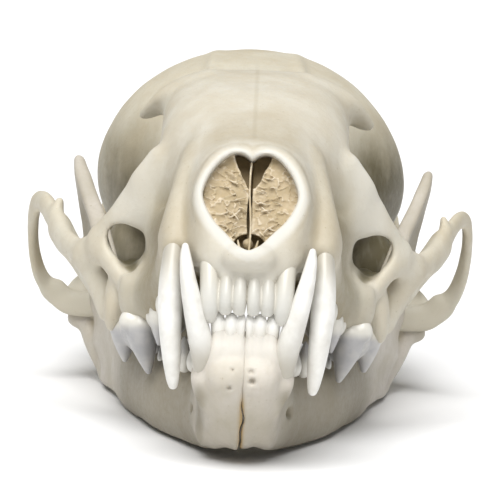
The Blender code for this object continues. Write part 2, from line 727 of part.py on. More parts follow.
def make_septum():
    """The upright plate between the two nasal passages."""
    septum = clay_object(
        "nasal_septum", lambda clay: nasal_plug(clay, SEPTUM_FRONT, NASAL_DEPTH - GAP, -1.5 * GAP)
    )
    return combine(septum, "INTERSECT", block((-SEPTUM_HALF, -5, 0), (SEPTUM_HALF, 20, 20)))


def copy_of(shape, name, mirror=False):
    """A copy in the scene under a new name, on the other side if mirrored."""
    made = object_of(name, shape.data.copy())
    if mirror:
        made.data.transform(Matrix.Diagonal((-1, 1, 1, 1)))
        made.data.flip_normals()
    return made


def part_cranium(cranium):
    """Divides the upper skull into its named regions, a thin cut apart."""
    cut = GAP / 2
    for side, name in ((1, "left"), (-1, "right")):
        arch = copy_of(cranium, "zygomatic_arch_" + name)
        combine(arch, "INTERSECT", arch_region(side, -cut))
        bulla = copy_of(cranium, "auditory_bulla_" + name)
        combine(bulla, "INTERSECT", bulla_region(side, -cut))
        combine(cranium, "DIFFERENCE", arch_region(side, cut))
    face = copy_of(cranium, "face")
    combine(face, "INTERSECT", block((-40, -20, -30), (40, FACE_BACK - cut, 50)))
    braincase = copy_of(cranium, "braincase")
    combine(braincase, "INTERSECT", block((-40, FACE_BACK + cut, -30), (40, 120, 50)))
    for side in (1, -1):
        combine(braincase, "DIFFERENCE", bulla_region(side, cut))
    bpy.data.objects.remove(cranium)


def pair_up(shape, name):
    """Left and right copies of a shape that was made for the left."""
    copy_of(shape, name + "_left")
    copy_of(shape, name + "_right", mirror=True)
    bpy.data.objects.remove(shape)


def make_material(name, colour, roughness):
    """A plain Principled material."""
    made = bpy.data.materials.new(name)
    made.use_nodes = True
    shader = made.node_tree.nodes["Principled BSDF"]
    shader.inputs["Base Color"].default_value = (*colour, 1)
    shader.inputs["Roughness"].default_value = roughness
    shader.inputs["Metallic"].default_value = 0.0
    return made


def finish(shape):
    """Metres, smooth shading with crisp edges, and a material of its own."""
    shape.data.transform(Matrix.Scale(MM, 4))
    shape.data.shade_smooth()
    shape.data.set_sharp_from_angle(angle=math.radians(CREASE))
    colour, roughness = LOOKS[shape.name.removesuffix("_left").removesuffix("_right")]
    shape.data.materials.clear()
    shape.data.materials.append(make_material(shape.name + "_bone", colour, roughness))


def stand_on_floor(pieces):
    """Tips everything nose-up on the jaw's lower edge, origin under the middle of the skull."""
    rest = object_of("rest", None)
    rest.rotation_euler = Euler((-math.radians(REST_TILT), 0, 0))
    turn = rest.rotation_euler.to_matrix()
    corners = np.array([turn @ vertex.co for piece in pieces for vertex in piece.data.vertices])
    low, high = corners.min(axis=0), corners.max(axis=0)
    rest.location = (-(low[0] + high[0]) / 2, -(low[1] + high[1]) / 2, -low[2])
    for piece in pieces:
        piece.parent = rest


def main():
    """Clears the scene and builds every piece."""
    for old in list(bpy.data.objects):
        bpy.data.objects.remove(old)
    part_cranium(make_cranium())
    make_septum()
    pair_up(make_turbinate(), "turbinates")
    pair_up(make_jaw(), "mandible")
    pair_up(make_canine(UPPER_CANINE), "upper_canine")
    pair_up(make_canine(LOWER_CANINE), "lower_canine")
    pieces = list(bpy.context.scene.objects)
    for piece in pieces:
        finish(piece)
    stand_on_floor(pieces)


main()
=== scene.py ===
import math

import bpy
import numpy as np
from mathutils import Euler, Matrix, Vector


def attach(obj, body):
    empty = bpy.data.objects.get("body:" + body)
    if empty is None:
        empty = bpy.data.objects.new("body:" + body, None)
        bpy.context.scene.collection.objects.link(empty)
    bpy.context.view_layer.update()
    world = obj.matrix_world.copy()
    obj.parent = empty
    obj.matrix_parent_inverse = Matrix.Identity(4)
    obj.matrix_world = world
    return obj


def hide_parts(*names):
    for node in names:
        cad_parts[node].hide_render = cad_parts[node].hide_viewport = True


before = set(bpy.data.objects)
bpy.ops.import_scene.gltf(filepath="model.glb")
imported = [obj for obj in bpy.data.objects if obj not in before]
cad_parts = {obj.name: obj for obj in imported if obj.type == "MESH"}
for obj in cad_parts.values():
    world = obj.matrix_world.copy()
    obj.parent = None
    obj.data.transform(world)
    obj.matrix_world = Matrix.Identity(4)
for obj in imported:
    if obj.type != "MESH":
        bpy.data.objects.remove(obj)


def write_size():
    """Brings the view layer up to date."""
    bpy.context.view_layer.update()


write_size()

# Millimetres in the skull's own frame, as in the part: x to the animal's left, y back from the front
# incisors, z up from their sockets. REST turns that frame into the row's frame.
MM = 0.001
REST_TILT = 10.2
REST_SHIFT = (0.0, -44.2, 19.39)

# Steps of the clays' grids, and the distance past which a shape no longer counts
GRAIN = 0.2
INCISOR_GRAIN, CANINE_GRAIN, CHEEK_TOOTH_GRAIN, SCROLL_GRAIN = 0.11, 0.12, 0.15, 0.09
FAR = 6.0
# Seeds of the random fields and draws. A paired piece adds its side: 1 on the left, -1 on the right.
CRANIUM_SEED, JAW_SEED, CHIN_SEED, STRAND_SEED, SEPTUM_SEED = 11, 30, 40, 50, 7
DRIFT_SEED, COARSE_SEED, FINE_SEED = 61, 71, 81
UP, BACK, STRAIGHT = (0, 0, 1), (0, 1, 0), (0, 0, 0)


def smooth_rows(rows, steps):
    """Rows read from a Catmull-Rom curve through the given rows, steps between each two."""
    knots = np.array([rows[0], *rows, rows[-1]], float)
    knots[0] = 2 * knots[1] - knots[2]
    knots[-1] = 2 * knots[-2] - knots[-3]
    made = []
    for a, b, c, d in zip(knots, knots[1:], knots[2:], knots[3:]):
        for t in np.arange(steps) / steps:
            made.append(0.5 * (2 * b + (c - a) * t + (2 * a - 5 * b + 4 * c - d) * t**2
                               + (3 * b - a - 3 * c + d) * t**3))
    made.append(np.array(rows[-1], float))
    return np.array(made)


def smooth_min(a, b, k):
    """The lesser of two distances, with a fillet about k wide where they cross, or none if k is 0."""
    if k <= 0:
        return np.minimum(a, b)
    h = np.clip(0.5 + 0.5 * (b - a) / k, 0, 1)
    return b + (a - b) * h - k * h * (1 - h)


def along(place, way):
    """How far a place lies along a direction, both given by x, y and z."""
    return place[0] * way[0] + place[1] * way[1] + place[2] * way[2]


class Clay:
    """Signed distance, in millimetres, on a regular grid; negative inside."""

    def __init__(self, low, high, step):
        self.low, self.step = np.array(low, float), step
        self.count = np.ceil((np.array(high) - self.low) / step).astype(int) + 1
        self.axes = [(self.low[i] + step * np.arange(self.count[i])).astype(np.float32) for i in range(3)]
        self.field = np.full(self.count, FAR, np.float32)

    def window(self, low, high):
        """The slices of the grid that cover a box."""
        first = np.clip(np.floor((np.array(low) - self.low) / self.step).astype(int), 0, self.count - 1)
        last = np.clip(np.ceil((np.array(high) - self.low) / self.step).astype(int) + 1, 1, self.count)
        return tuple(slice(a, max(a + 1, b)) for a, b in zip(first, last))

    def everywhere(self):
        return tuple(slice(0, n) for n in self.count)

    def grid(self, at):
        """Coordinates of a window's points, ready to broadcast."""
        x, y, z = (axis[part] for axis, part in zip(self.axes, at))
        return x[:, None, None], y[None, :, None], z[None, None, :]

    def add(self, shape, blend):
        """Lays a shape on, with a fillet about blend wide."""
        at, distance = shape
        self.field[at] = smooth_min(self.field[at], distance, blend)

    def carve(self, shape, blend):
        """Takes a shape away, its mouth rounded about as wide as blend."""
        at, distance = shape
        self.field[at] = -smooth_min(-self.field[at], distance, blend)

    def add_mass(self, mass):
        *egg, blend = mass
        self.add(self.egg(*egg), blend)

    def carve_mass(self, mass):
        *egg, blend = mass
        self.carve(self.egg(*egg), blend)

    def bar(self, rows, up=UP, steps=5, grow=0.0, reach=2.2):
        """An elliptical bar through rows of (x, y, z, half thickness, half height along up)."""
        rows = smooth_rows(rows, steps)
        points, thick, high = rows[:, :3], rows[:, 3] + grow, rows[:, 4] + grow
        wide = np.maximum(thick, high).max() + reach
        at = self.window(points.min(0) - wide, points.max(0) + wide)
        out = np.full([s.stop - s.start for s in at], FAR, np.float32)
        for i in range(len(points) - 1):
            a, b = points[i], points[i + 1]
            run = b - a
            length = float(np.linalg.norm(run)) + 1e-9
            side = np.cross(run, up)
            side /= np.linalg.norm(side) + 1e-9
            rise = np.cross(side, run) / length
            r = max(thick[i], thick[i + 1], high[i], high[i + 1]) + reach
            part = self.window(np.minimum(a, b) - r, np.maximum(a, b) + r)
            place = [axis - start for axis, start in zip(self.grid(part), a)]
            t = np.clip(along(place, run) / length**2, 0, 1)
            place = [axis - t * step for axis, step in zip(place, run)]
            wa = thick[i] + (thick[i + 1] - thick[i]) * t
            wb = high[i] + (high[i + 1] - high[i]) * t
            wc = np.minimum(wa, wb)
            s = along(place, side) / wa
            u = along(place, rise) / wb
            e = along(place, run) / (wc * length)
            rho = np.sqrt(s * s + u * u + e * e) + 1e-6
            slope = np.sqrt((s / wa) ** 2 + (u / wb) ** 2 + (e / wc) ** 2) + 1e-6
            inner = tuple(slice(p.start - q.start, p.stop - q.start) for p, q in zip(part, at))
            out[inner] = np.minimum(out[inner], (rho - 1) * rho / slope)
        return at, out

    def egg(self, centre, radii, turn=STRAIGHT, reach=2.2):
        """An ellipsoid turned by Euler angles in degrees."""
        centre, radii = np.array(centre, float), np.array(radii, float)
        wide = radii.max() + reach
        at = self.window(centre - wide, centre + wide)
        place = [axis - middle for axis, middle in zip(self.grid(at), centre)]
        ways = np.array(Euler([math.radians(a) for a in turn]).to_matrix()).T
        local = [along(place, way) / r for way, r in zip(ways, radii)]
        rho = np.sqrt(sum(c * c for c in local)) + 1e-6
        slope = np.sqrt(sum((c / r) ** 2 for c, r in zip(local, radii))) + 1e-6
        return at, ((rho - 1) * rho / slope).astype(np.float32)

    def noise(self, cell, seed, stretch=(1, 1, 1)):
        """Smooth random field, about -1 to 1, whose lumps are about cell wide."""
        rng = np.random.default_rng(seed)
        weights = []
        for axis, s in zip(self.axes, stretch):
            place = (axis - axis[0]) / (cell * s) + 1.5
            base = np.floor(place).astype(int)
            t = place - base
            table = np.zeros((len(axis), base[-1] + 4), np.float32)
            spline = ((1 - t) ** 3 / 6, (3 * t**3 - 6 * t**2 + 4) / 6,
                      (-3 * t**3 + 3 * t**2 + 3 * t + 1) / 6, t**3 / 6)
            for j, part in enumerate(spline):
                table[np.arange(len(axis)), base + j] = part
            weights.append(table)
        lattice = rng.standard_normal([w.shape[1] for w in weights]).astype(np.float32)
        lattice = np.tensordot(weights[0], lattice, (1, 0))
        lattice = np.tensordot(lattice, weights[1], (1, 1))
        return np.tensordot(lattice, weights[2], (1, 1)) * 1.6

    def soften(self, times):
        """Blurs the field, which rounds edges."""
        f = self.field
        for _ in range(times):
            for axis in range(3):
                f = np.moveaxis(f, axis, 0)
                f[1:-1] = 0.25 * f[:-2] + 0.5 * f[1:-1] + 0.25 * f[2:]
                f = np.moveaxis(f, 0, axis)
        self.field = f

    def close(self):
        """Empties the grid's outermost layer, so that the skin has no open edge there."""
        for axis in range(3):
            layers = np.moveaxis(self.field, axis, 0)
            for end in (0, -1):
                layers[end] = np.maximum(layers[end], 0.5 * self.step)

    def turn_over(self):
        """Swaps left and right."""
        self.field = self.field[::-1].copy()
        self.low = np.array((-self.axes[0][-1], *self.low[1:]))
        self.axes[0] = -self.axes[0][::-1]

    def mirrored(self):
        """The same clay with its other half, the grid starting on the middle plane."""
        whole = Clay((-self.axes[0][-1], *self.low[1:]),
                     (self.axes[0][-1], *[axis[-1] for axis in self.axes[1:]]), self.step)
        whole.axes[0] = np.concatenate([-self.axes[0][:0:-1], self.axes[0]])
        whole.field = np.concatenate([self.field[:0:-1], self.field])
        whole.count = np.array(whole.field.shape)
        return whole


CORNERS = tuple((i, j, k) for i in (0, 1) for j in (0, 1) for k in (0, 1))


def crossed_cells(inside):
    """The grid's cells with corners on both sides of the surface, and the number of each."""
    total = np.zeros(np.array(inside.shape) - 1, np.int8)
    ends = total.shape
    for i, j, k in CORNERS:
        total += inside[i:ends[0] + i, j:ends[1] + j, k:ends[2] + k]
    cells = np.argwhere((total > 0) & (total < len(CORNERS)))
    number = np.full(total.shape, -1, np.int32)
    number[tuple(cells.T)] = np.arange(len(cells))
    return cells, number


def net_points(clay, cells):
    """One point in each cell, midway between the places where the surface crosses its edges."""
    place = np.zeros((len(cells), 3), np.float32)
    hits = np.zeros(len(cells), np.float32)
    value = {corner: clay.field[tuple((cells + corner).T)] for corner in CORNERS}
    for axis in range(3):
        for j in (0, 1):
            for k in (0, 1):
                start, end = [j, k], [j, k]
                start.insert(axis, 0)
                end.insert(axis, 1)
                a, b = value[tuple(start)], value[tuple(end)]
                crossed = (a < 0) != (b < 0)
                t = a[crossed] / (a[crossed] - b[crossed])
                spot = np.repeat(np.array([start], np.float32), len(t), 0)
                spot[:, axis] += t
                place[crossed] += spot
                hits[crossed] += 1
    return clay.low + clay.step * (cells + place / hits[:, None])


def net_quads(inside, number):
    """One quad round each edge of the grid that the surface crosses, facing out."""
    quads = []
    for axis in range(3):
        b, c = (axis + 1) % 3, (axis + 2) % 3
        lower, upper, offset = [slice(1, -1)] * 3, [slice(1, -1)] * 3, np.ones(3, int)
        lower[axis], upper[axis], offset[axis] = slice(0, -1), slice(1, None), 0
        edges = np.argwhere(inside[tuple(lower)] != inside[tuple(upper)]) + offset
        ring = []
        for db, dc in ((-1, -1), (0, -1), (0, 0), (-1, 0)):
            cell = edges.copy()
            cell[:, b] += db
            cell[:, c] += dc
            ring.append(number[tuple(cell.T)])
        quad = np.stack(ring, 1)
        entering = ~inside[tuple(edges.T)]
        quad[entering] = quad[entering][:, ::-1]
        quads.append(quad)
    return np.concatenate(quads)


def skin(clay):
    """The clay's surface by surface nets, as points and quads."""
    inside = clay.field < 0
    cells, number = crossed_cells(inside)
    return net_points(clay, cells), net_quads(inside, number)


def main_part(points, quads):
    """The skin without the crumbs that hang free of its largest part."""
    label = np.arange(len(points))
    while True:
        least = label.copy()
        np.minimum.at(least, quads.ravel(), np.repeat(label[quads].min(1), quads.shape[1]))
        least = least[least]
        if (least == label).all():
            break
        label = least
    kept = label == np.bincount(label).argmax()
    return points[kept], (np.cumsum(kept) - 1)[quads[kept[quads[:, 0]]]]


def sample(field, low, step, points):
    """Trilinear reading at points of a field on a grid."""
    place = (points - low) / step
    base = np.clip(np.floor(place).astype(int), 0, np.array(field.shape) - 2)
    t = np.clip(place - base, 0, 1)
    out = 0
    for corner in CORNERS:
        share = np.abs(1 - np.array(corner) - t).prod(1)
        out = out + share * field[tuple((base + corner).T)]
    return out


def box_blur(values, radius):
    """The mean of all values within radius cells along each axis."""
    for axis in range(3):
        v = np.moveaxis(values, axis, 0)
        n = v.shape[0]
        run = np.concatenate([np.zeros((1, *v.shape[1:]), np.float32), np.cumsum(v, 0, dtype=np.float32)])
        top = np.minimum(np.arange(n) + radius + 1, n)
        bottom = np.maximum(np.arange(n) - radius, 0)
        values = np.moveaxis((run[top] - run[bottom]) / (top - bottom)[:, None, None], 0, axis)
    return values


def crowding(clay, points, width):
    """How much of the space within about width of each point is solid, 0.5 on flat ground."""
    cells_to_width, width_to_radius = 6, 1.7
    skip = max(1, int(width / clay.step / cells_to_width))
    step = clay.step * skip
    radius = max(1, int(round(width / step / width_to_radius)))
    solid = np.clip(0.5 - clay.field[::skip, ::skip, ::skip] / clay.step, 0, 1).astype(np.float32)
    return sample(box_blur(box_blur(solid, radius), radius), clay.low, step, points)


REST = Matrix.Translation(Vector(REST_SHIFT) * MM) @ Matrix.Rotation(-math.radians(REST_TILT), 4, "X")
REST_TURN = np.array(REST.to_3x3())
REST_MOVE = np.array(REST.translation)


def mesh_object(name, points, quads, marks=None):
    """A smooth-shaded mesh object from points in skull millimetres, with values kept on its points."""
    mesh = bpy.data.meshes.new(name)
    mesh.vertices.add(len(points))
    mesh.vertices.foreach_set("co", ((points * MM) @ REST_TURN.T + REST_MOVE).astype(np.float32).ravel())
    sides = quads.shape[1]
    mesh.loops.add(quads.size)
    mesh.loops.foreach_set("vertex_index", quads.astype(np.int32).ravel())
    mesh.polygons.add(len(quads))
    mesh.polygons.foreach_set("loop_start", np.arange(0, quads.size, sides, dtype=np.int32))
    mesh.update(calc_edges=True)
    mesh.validate()
    mesh.shade_smooth()
    for key, values in (marks or {}).items():
        layer = mesh.attributes.new(key, "FLOAT", "POINT")
        layer.data.foreach_set("value", np.asarray(values, np.float32))
    made = bpy.data.objects.new(name, mesh)
    bpy.context.scene.collection.objects.link(made)
    return made


def ease(value, low, high):
    """0 up to low, 1 from high on, and a smooth rise between them."""
    t = np.clip((value - low) / (high - low), 0, 1)
    return t * t * (3 - 2 * t)


def fade(value, low, high):
    """1 up to low, 0 from high on."""
    return 1 - ease(value, low, high)


def span(value, first, full, last, past):
    """1 from full to last, 0 before first and after past."""
    return ease(value, first, full) * fade(value, last, past)


def cast(name, clay, width=1.4, extra=None, warp=None):
    """The clay's skin as an object, with its hollows (used for painted shade) and what extra returns
    marked on its points.
    """
    points, quads = skin(clay)
    marks = {"hollow": crowding(clay, points, width)}
    if extra:
        marks.update(extra(points))
    if warp:
        points = warp(points)
    return mesh_object(name, points, quads, marks)


# Cranium cross-sections along y: (y, bottom z, top z, half width low, half width high, squareness)
CORE = (
    (1.2, 0.0, 2.8, 2.8, 2.2, 2.3),
    (2.6, -0.8, 5.6, 5.0, 4.4, 2.5),
    (5.2, -0.6, 12.0, 6.6, 5.4, 2.6),
    (10.0, 0.0, 14.3, 7.4, 6.2, 2.7),
    (16.0, 0.4, 17.0, 8.6, 7.8, 2.7),
    (20.0, 0.6, 19.1, 10.2, 9.2, 2.6),
    (22.5, 0.8, 20.3, 9.4, 10.2, 2.6),
    (26.0, 0.8, 21.6, 6.8, 11.4, 2.6),
    (30.0, 1.0, 23.0, 5.6, 12.0, 2.6),
    (35.0, 1.4, 24.0, 4.4, 12.4, 2.8),
    (38.5, 2.0, 24.5, 4.4, 11.4, 2.8),
    (42.0, 2.6, 24.7, 6.0, 9.6, 2.5),
    (46.0, 3.2, 25.2, 8.8, 9.6, 2.2),
    (50.0, 3.6, 26.4, 12.4, 11.8, 2.1),
    (55.0, 3.6, 28.4, 16.8, 14.6, 2.05),
    (62.0, 3.1, 30.5, 19.2, 16.4, 2.05),
    (69.0, 3.0, 31.0, 19.4, 16.0, 2.05),
    (75.0, 3.2, 30.1, 17.6, 14.4, 2.1),
    (79.0, 3.8, 28.1, 15.0, 12.6, 2.2),
    (82.5, 5.0, 25.8, 12.2, 10.2, 2.3),
    (84.4, 7.0, 24.0, 7.8, 6.4, 2.4),
)


def core_shape(clay):
    """The loft of snout, brow and braincase."""
    y = clay.axes[1]
    rows = np.array(CORE)
    fine = smooth_rows(CORE, 8)
    end_cap, least_slope = 1.6, 0.03
    held = np.clip(y, rows[0, 0], rows[-1, 0])
    columns = [np.interp(held, fine[:, 0], column).astype(np.float32) for column in fine[:, 1:].T]
    bottom, top, low, high, square = (column[None, :, None] for column in columns)
    x, y, z = clay.grid(clay.everywhere())
    middle, half = (bottom + top) / 2, (top - bottom) / 2
    v = (z - middle) / half
    width = low + (high - low) * (np.clip(v, -1, 1) + 1) / 2
    rho = ((np.abs(x) / width) ** square + np.abs(v) ** square) ** (1 / square)
    past = (y - held[None, :, None]) / end_cap
    rho = np.sqrt(rho * rho + past * past).astype(np.float32)
    slope = np.sqrt(sum(g * g for g in np.gradient(rho, clay.step)))
    return clay.everywhere(), np.clip((rho - 1) / np.maximum(slope, least_slope), -FAR, FAR)


# Bars of the left half: rows of (x, y, z, half thickness, half height)
RIM = (
    (0.0, 2.5, 1.0, 0.8, 0.8), (1.9, 2.6, 1.8, 0.8, 0.8), (3.8, 3.1, 4.2, 0.7, 0.75),
    (4.8, 3.9, 7.2, 0.6, 0.7), (4.2, 4.7, 9.8, 0.45, 0.6), (2.6, 5.3, 11.4, 0.45, 0.6),
    (0.0, 5.4, 11.4, 0.55, 0.6),
)
TOOTH_BANK = (
    (7.2, 8.4, 3.2, 1.6, 2.2), (7.6, 11.0, 1.0, 1.6, 2.3), (8.4, 15.0, -0.6, 1.5, 2.6),
    (9.9, 20.0, -1.0, 1.6, 3.1), (11.5, 25.0, -0.7, 1.6, 3.4), (12.2, 30.0, -0.2, 2.0, 2.8),
    (10.5, 33.5, 0.8, 1.8, 1.8),
)
CANINE_JUGUM = (
    (7.28, 6.3, 2.5, 1.12, 1.7), (7.25, 7.2, 4.6, 1.2, 1.6), (7.0, 8.9, 7.2, 1.12, 1.4),
    (6.5, 11.0, 9.8, 1.0, 1.2), (5.8, 13.4, 11.9, 0.8, 0.9),
)
ANTORBITAL_BAR = (
    (8.4, 20.2, 11.2, 1.1, 3.0), (10.5, 21.0, 8.9, 1.0, 2.9), (12.0, 22.2, 7.5, 0.9, 2.5),
    (13.6, 23.8, 6.2, 0.9, 1.8), (15.4, 26.4, 4.7, 0.95, 1.4),
)
ZYGOMATIC_ARCH = (
    (11.9, 21.6, -1.0, 0.8, 1.0), (13.2, 22.8, 0.8, 0.75, 1.0), (14.6, 24.8, 2.6, 0.8, 1.2),
    (16.1, 27.4, 3.5, 0.9, 1.5), (17.8, 30.6, 3.5, 0.9, 1.25), (19.6, 34.4, 4.8, 0.85, 1.4),
    (21.1, 38.6, 7.3, 0.75, 1.3), (22.7, 43.2, 9.6, 0.65, 1.15), (24.0, 48.0, 9.7, 0.6, 1.15),
    (24.45, 51.5, 7.4, 0.58, 1.2), (24.2, 54.2, 4.4, 0.62, 1.2), (23.2, 56.2, 1.8, 0.75, 1.2),
    (21.0, 58.6, 0.1, 1.6, 1.3), (16.5, 61.2, 1.8, 2.6, 1.6),
)
JUGAL_SPUR = (
    (21.0, 38.6, 7.8, 0.6, 1.0), (20.7, 38.6, 9.4, 0.45, 0.5),
)
POSTORBITAL_PROCESS = (
    (5.0, 35.0, 20.9, 4.5, 2.8), (8.6, 36.0, 20.8, 3.2, 1.7), (10.7, 36.9, 19.9, 1.8, 0.9),
    (12.3, 37.8, 18.9, 0.7, 0.4),
)
EAR_SHELF = (
    (13.6, 57.6, 6.0, 2.6, 3.4), (15.6, 60.5, 4.8, 3.2, 2.6), (16.6, 64.6, 6.0, 3.4, 2.2),
    (16.6, 69.0, 7.5, 3.4, 2.2), (15.6, 73.0, 8.0, 3.2, 2.4),
)
NUCHAL_CREST = (
    (17.9, 71.5, 6.4, 0.7, 2.2), (17.2, 75.2, 11.6, 0.55, 1.9), (14.2, 79.0, 17.8, 0.5, 1.7),
    (9.0, 82.4, 22.9, 0.5, 1.7), (3.6, 84.4, 25.6, 0.5, 1.7), (0.0, 84.9, 26.1, 0.55, 1.7),
)
OCCIPITAL_RIDGE = (
    (0.0, 84.6, 25.0, 0.4, 0.8), (0.0, 85.6, 20.5, 0.4, 0.8), (0.0, 85.6, 16.0, 0.4, 0.5),
)
OCCIPITAL_CONDYLE = (
    (2.4, 82.6, 3.8, 1.2, 1.3), (5.0, 84.8, 5.4, 1.6, 1.8), (6.5, 85.2, 8.2, 1.6, 1.9),
    (6.4, 83.8, 11.0, 1.2, 1.4),
)
SAGITTAL_CREST = (
    (0.0, 70.0, 30.2, 0.5, 0.3), (0.0, 76.0, 29.3, 0.5, 0.7), (0.0, 81.0, 27.4, 0.45, 1.2),
    (0.0, 84.6, 25.8, 0.5, 1.5),
)
TEMPORAL_LINE = (
    (11.4, 37.8, 19.6, 0.5, 0.5), (8.8, 40.6, 21.8, 0.5, 0.8), (6.2, 45.0, 23.4, 0.45, 0.8),
    (5.2, 51.0, 25.8, 0.35, 0.6), (4.9, 57.0, 28.2, 0.3, 0.3), (4.6, 64.0, 29.7, 0.3, 0.3),
    (3.6, 71.0, 30.1, 0.3, 0.3), (1.8, 77.0, 28.8, 0.3, 0.3),
)
PTERYGOID_PLATE = (
    (3.9, 37.5, 2.6, 0.6, 2.0), (3.8, 45.0, 2.4, 0.4, 2.4), (3.8, 51.0, 1.8, 0.4, 2.0),
    (4.2, 55.0, 0.4, 0.35, 0.7),
)
INFRAORBITAL_HOLE = (
    (12.4, 13.0, 2.6, 2.3, 1.9), (12.45, 17.5, 3.0, 2.0, 1.9), (12.6, 21.0, 3.6, 1.8, 1.8),
    (12.7, 25.0, 4.8, 1.9, 2.0), (13.0, 32.0, 8.4, 2.8, 3.2),
)
HOLE_FOOT = (
    (12.0, 15.0, 1.2, 0.9, 1.3), (12.1, 20.0, 1.8, 0.9, 1.3), (12.3, 25.0, 3.4, 1.1, 1.5),
)
JAW_CONDYLE = (
    (13.4, 59.3, -1.4, 1.1, 1.1), (16.6, 59.0, -1.6, 1.4, 1.4), (19.6, 58.5, -2.1, 1.1, 1.1),
)
CHOANA = (
    (0.0, 36.0, 2.8, 2.0, 1.3), (0.0, 42.0, 2.2, 2.9, 2.0), (0.0, 56.0, 1.4, 3.0, 2.2),
)
# Nasal opening, half its heart-shaped edge from the bottom up: (x, z)
HEART = ((0.0, 1.9), (1.0, 2.45), (2.1, 3.6), (3.3, 4.85), (4.1, 6.1), (4.5, 7.5), (4.0, 9.1),
         (3.3, 10.2), (2.6, 10.95), (1.8, 11.45), (1.1, 11.5), (0.45, 11.2), (0.0, 10.7))
HEART_MIDDLE, HEART_SHIFT = 7.3, -0.06


def heart_distance(x, z):
    """Signed distance, in the upright plane, to the edge of the nasal opening."""
    edge = smooth_rows(HEART, 6)
    turn = np.arctan2(edge[:, 0], edge[:, 1] - HEART_MIDDLE)
    reach = np.hypot(edge[:, 0], edge[:, 1] - HEART_MIDDLE)
    order = np.argsort(turn)
    x = x - HEART_SHIFT
    angle = np.arctan2(np.abs(x), z - HEART_MIDDLE)
    return np.hypot(x, z - HEART_MIDDLE) - np.interp(angle, turn[order], reach[order])


def nasal_passage(clay, depth):
    """The nose's hollow, as far back as depth."""
    at = clay.window((-7, -3, -1), (7, depth + 2, 15))
    x, y, z = clay.grid(at)
    hole = heart_distance(x, z) + 0 * y
    return at, np.maximum(hole, y - depth).astype(np.float32)


MAXILLA_WALL = (
    (7.4, 11.0, 4.4, 1.0, 3.0), (8.5, 16.0, 3.6, 1.2, 3.4), (9.2, 21.0, 3.4, 1.3, 3.8),
    (8.8, 26.0, 4.2, 1.2, 3.4),
)
PREGLENOID = (
    (12.6, 57.0, -0.4, 0.6, 1.3), (16.6, 56.8, -0.6, 0.6, 1.6), (20.4, 56.8, -0.4, 0.6, 1.6),
    (22.2, 56.6, 1.2, 0.7, 1.4),
)
POSTGLENOID = (
    (12.0, 61.8, -1.4, 0.7, 1.6), (16.0, 61.6, -1.2, 0.7, 1.5), (19.6, 61.0, -0.2, 0.6, 1.2),
)
INCISOR_BANK = (
    (0.0, 3.1, -0.1, 0.95, 1.3), (1.9, 3.3, -0.1, 0.95, 1.3), (3.4, 4.0, 0.4, 1.0, 1.2),
)
MASSETER_SHEET = (
    (13.7, 30.2, -2.8, 1.25, 1.5), (15.5, 31.6, -0.3, 0.95, 1.5), (17.8, 34.2, 2.7, 0.85, 1.4),
    (20.3, 38.0, 6.1, 0.75, 1.4),
)
CHEEK_FOOT = (
    (16.7, 29.4, 2.6, 1.1, 1.4), (15.3, 28.6, 0.2, 1.25, 1.6), (13.9, 27.6, -2.6, 1.2, 1.7),
)
# Rounded masses and hollows: centre, radii, turn in degrees, blend
CHEEK_WEB = ((16.9, 31.6, 1.9), (1.0, 1.5, 1.3), STRAIGHT, 0.8)
MASTOID = ((17.8, 72.0, 5.4), (2.6, 3.2, 3.8), STRAIGHT, 1.6)
SKULL_BASE = ((0.0, 72.0, 4.4), (5.2, 13.0, 2.2), STRAIGHT, 1.6)
GLENOID_BLOCK = ((16.6, 60.8, 1.6), (4.0, 3.2, 2.0), STRAIGHT, 1.4)
PAROCCIPITAL = ((12.2, 78.6, 4.6), (1.5, 1.8, 3.9), (14, 0, 0), 1.6)
BULLA = ((9.2, 68.4, 0.8), (4.7, 8.8, 4.9), (0, 0, 13), 0.7)
EAR_TUBE = (
    ((13.6, 66.4, 2.2), (4.4, 2.3, 2.2), STRAIGHT, 1.0),
    ((15.6, 66.4, 3.6), (2.6, 2.6, 2.4), STRAIGHT, 1.0),
)
EAR_HOLE = ((18.8, 66.0, 3.4), (2.8, 1.3, 1.3), STRAIGHT, 0.4)
SPINE_HOLE = ((0, 85, 10.4), (5.2, 13, 4.2), STRAIGHT, 0.8)
PALATE_HOLE = ((1.5, 6.6, -1.2), (0.9, 2.2, 2.0), STRAIGHT, 0.3)
CANAL_MOUTH = ((12.2, 15.0, 2.6), (2.3, 6.5, 2.6), STRAIGHT, 1.6)
CHIN_MASS = ((1.3, 4.1, -8.0), (2.9, 1.5, 2.9), STRAIGHT, 0.5)
JAW_HOLLOW = ((6.7, 8.0, -13.4), (2.9, 4.0, 3.6), (0, 20, 0), 1.2)
JAW_INNER_HOLE = ((14.2, 48.0, -3.6), (0.9, 1.2, 0.9), STRAIGHT, 0.3)
ROOTS = (
    ((11.25, 20.7, -1.1), (1.75, 1.5, 3.3), (4, -2, 0), 0.5),
    ((13.3, 25.2, -1.3), (1.3, 2.2, 3.9), (0, -8, 0), 0.6),
    ((13.3, 29.6, -0.9), (1.6, 2.0, 3.0), (0, -10, 0), 0.8),
    ((8.7, 14.8, -0.9), (1.0, 1.1, 2.8), (0, 0, 0), 0.5),
    ((8.1, 11.4, 0.4), (0.9, 0.9, 2.2), (0, 0, 0), 0.5),
)
# Ridges that the incisors' roots raise: x of the upper ones, (x, half width) of the lower ones
INCISOR_ROOTS = (0.64, 1.92)
LOWER_INCISOR_ROOTS = ((0.45, 0.32), (1.3, 0.5), (2.5, 0.6))
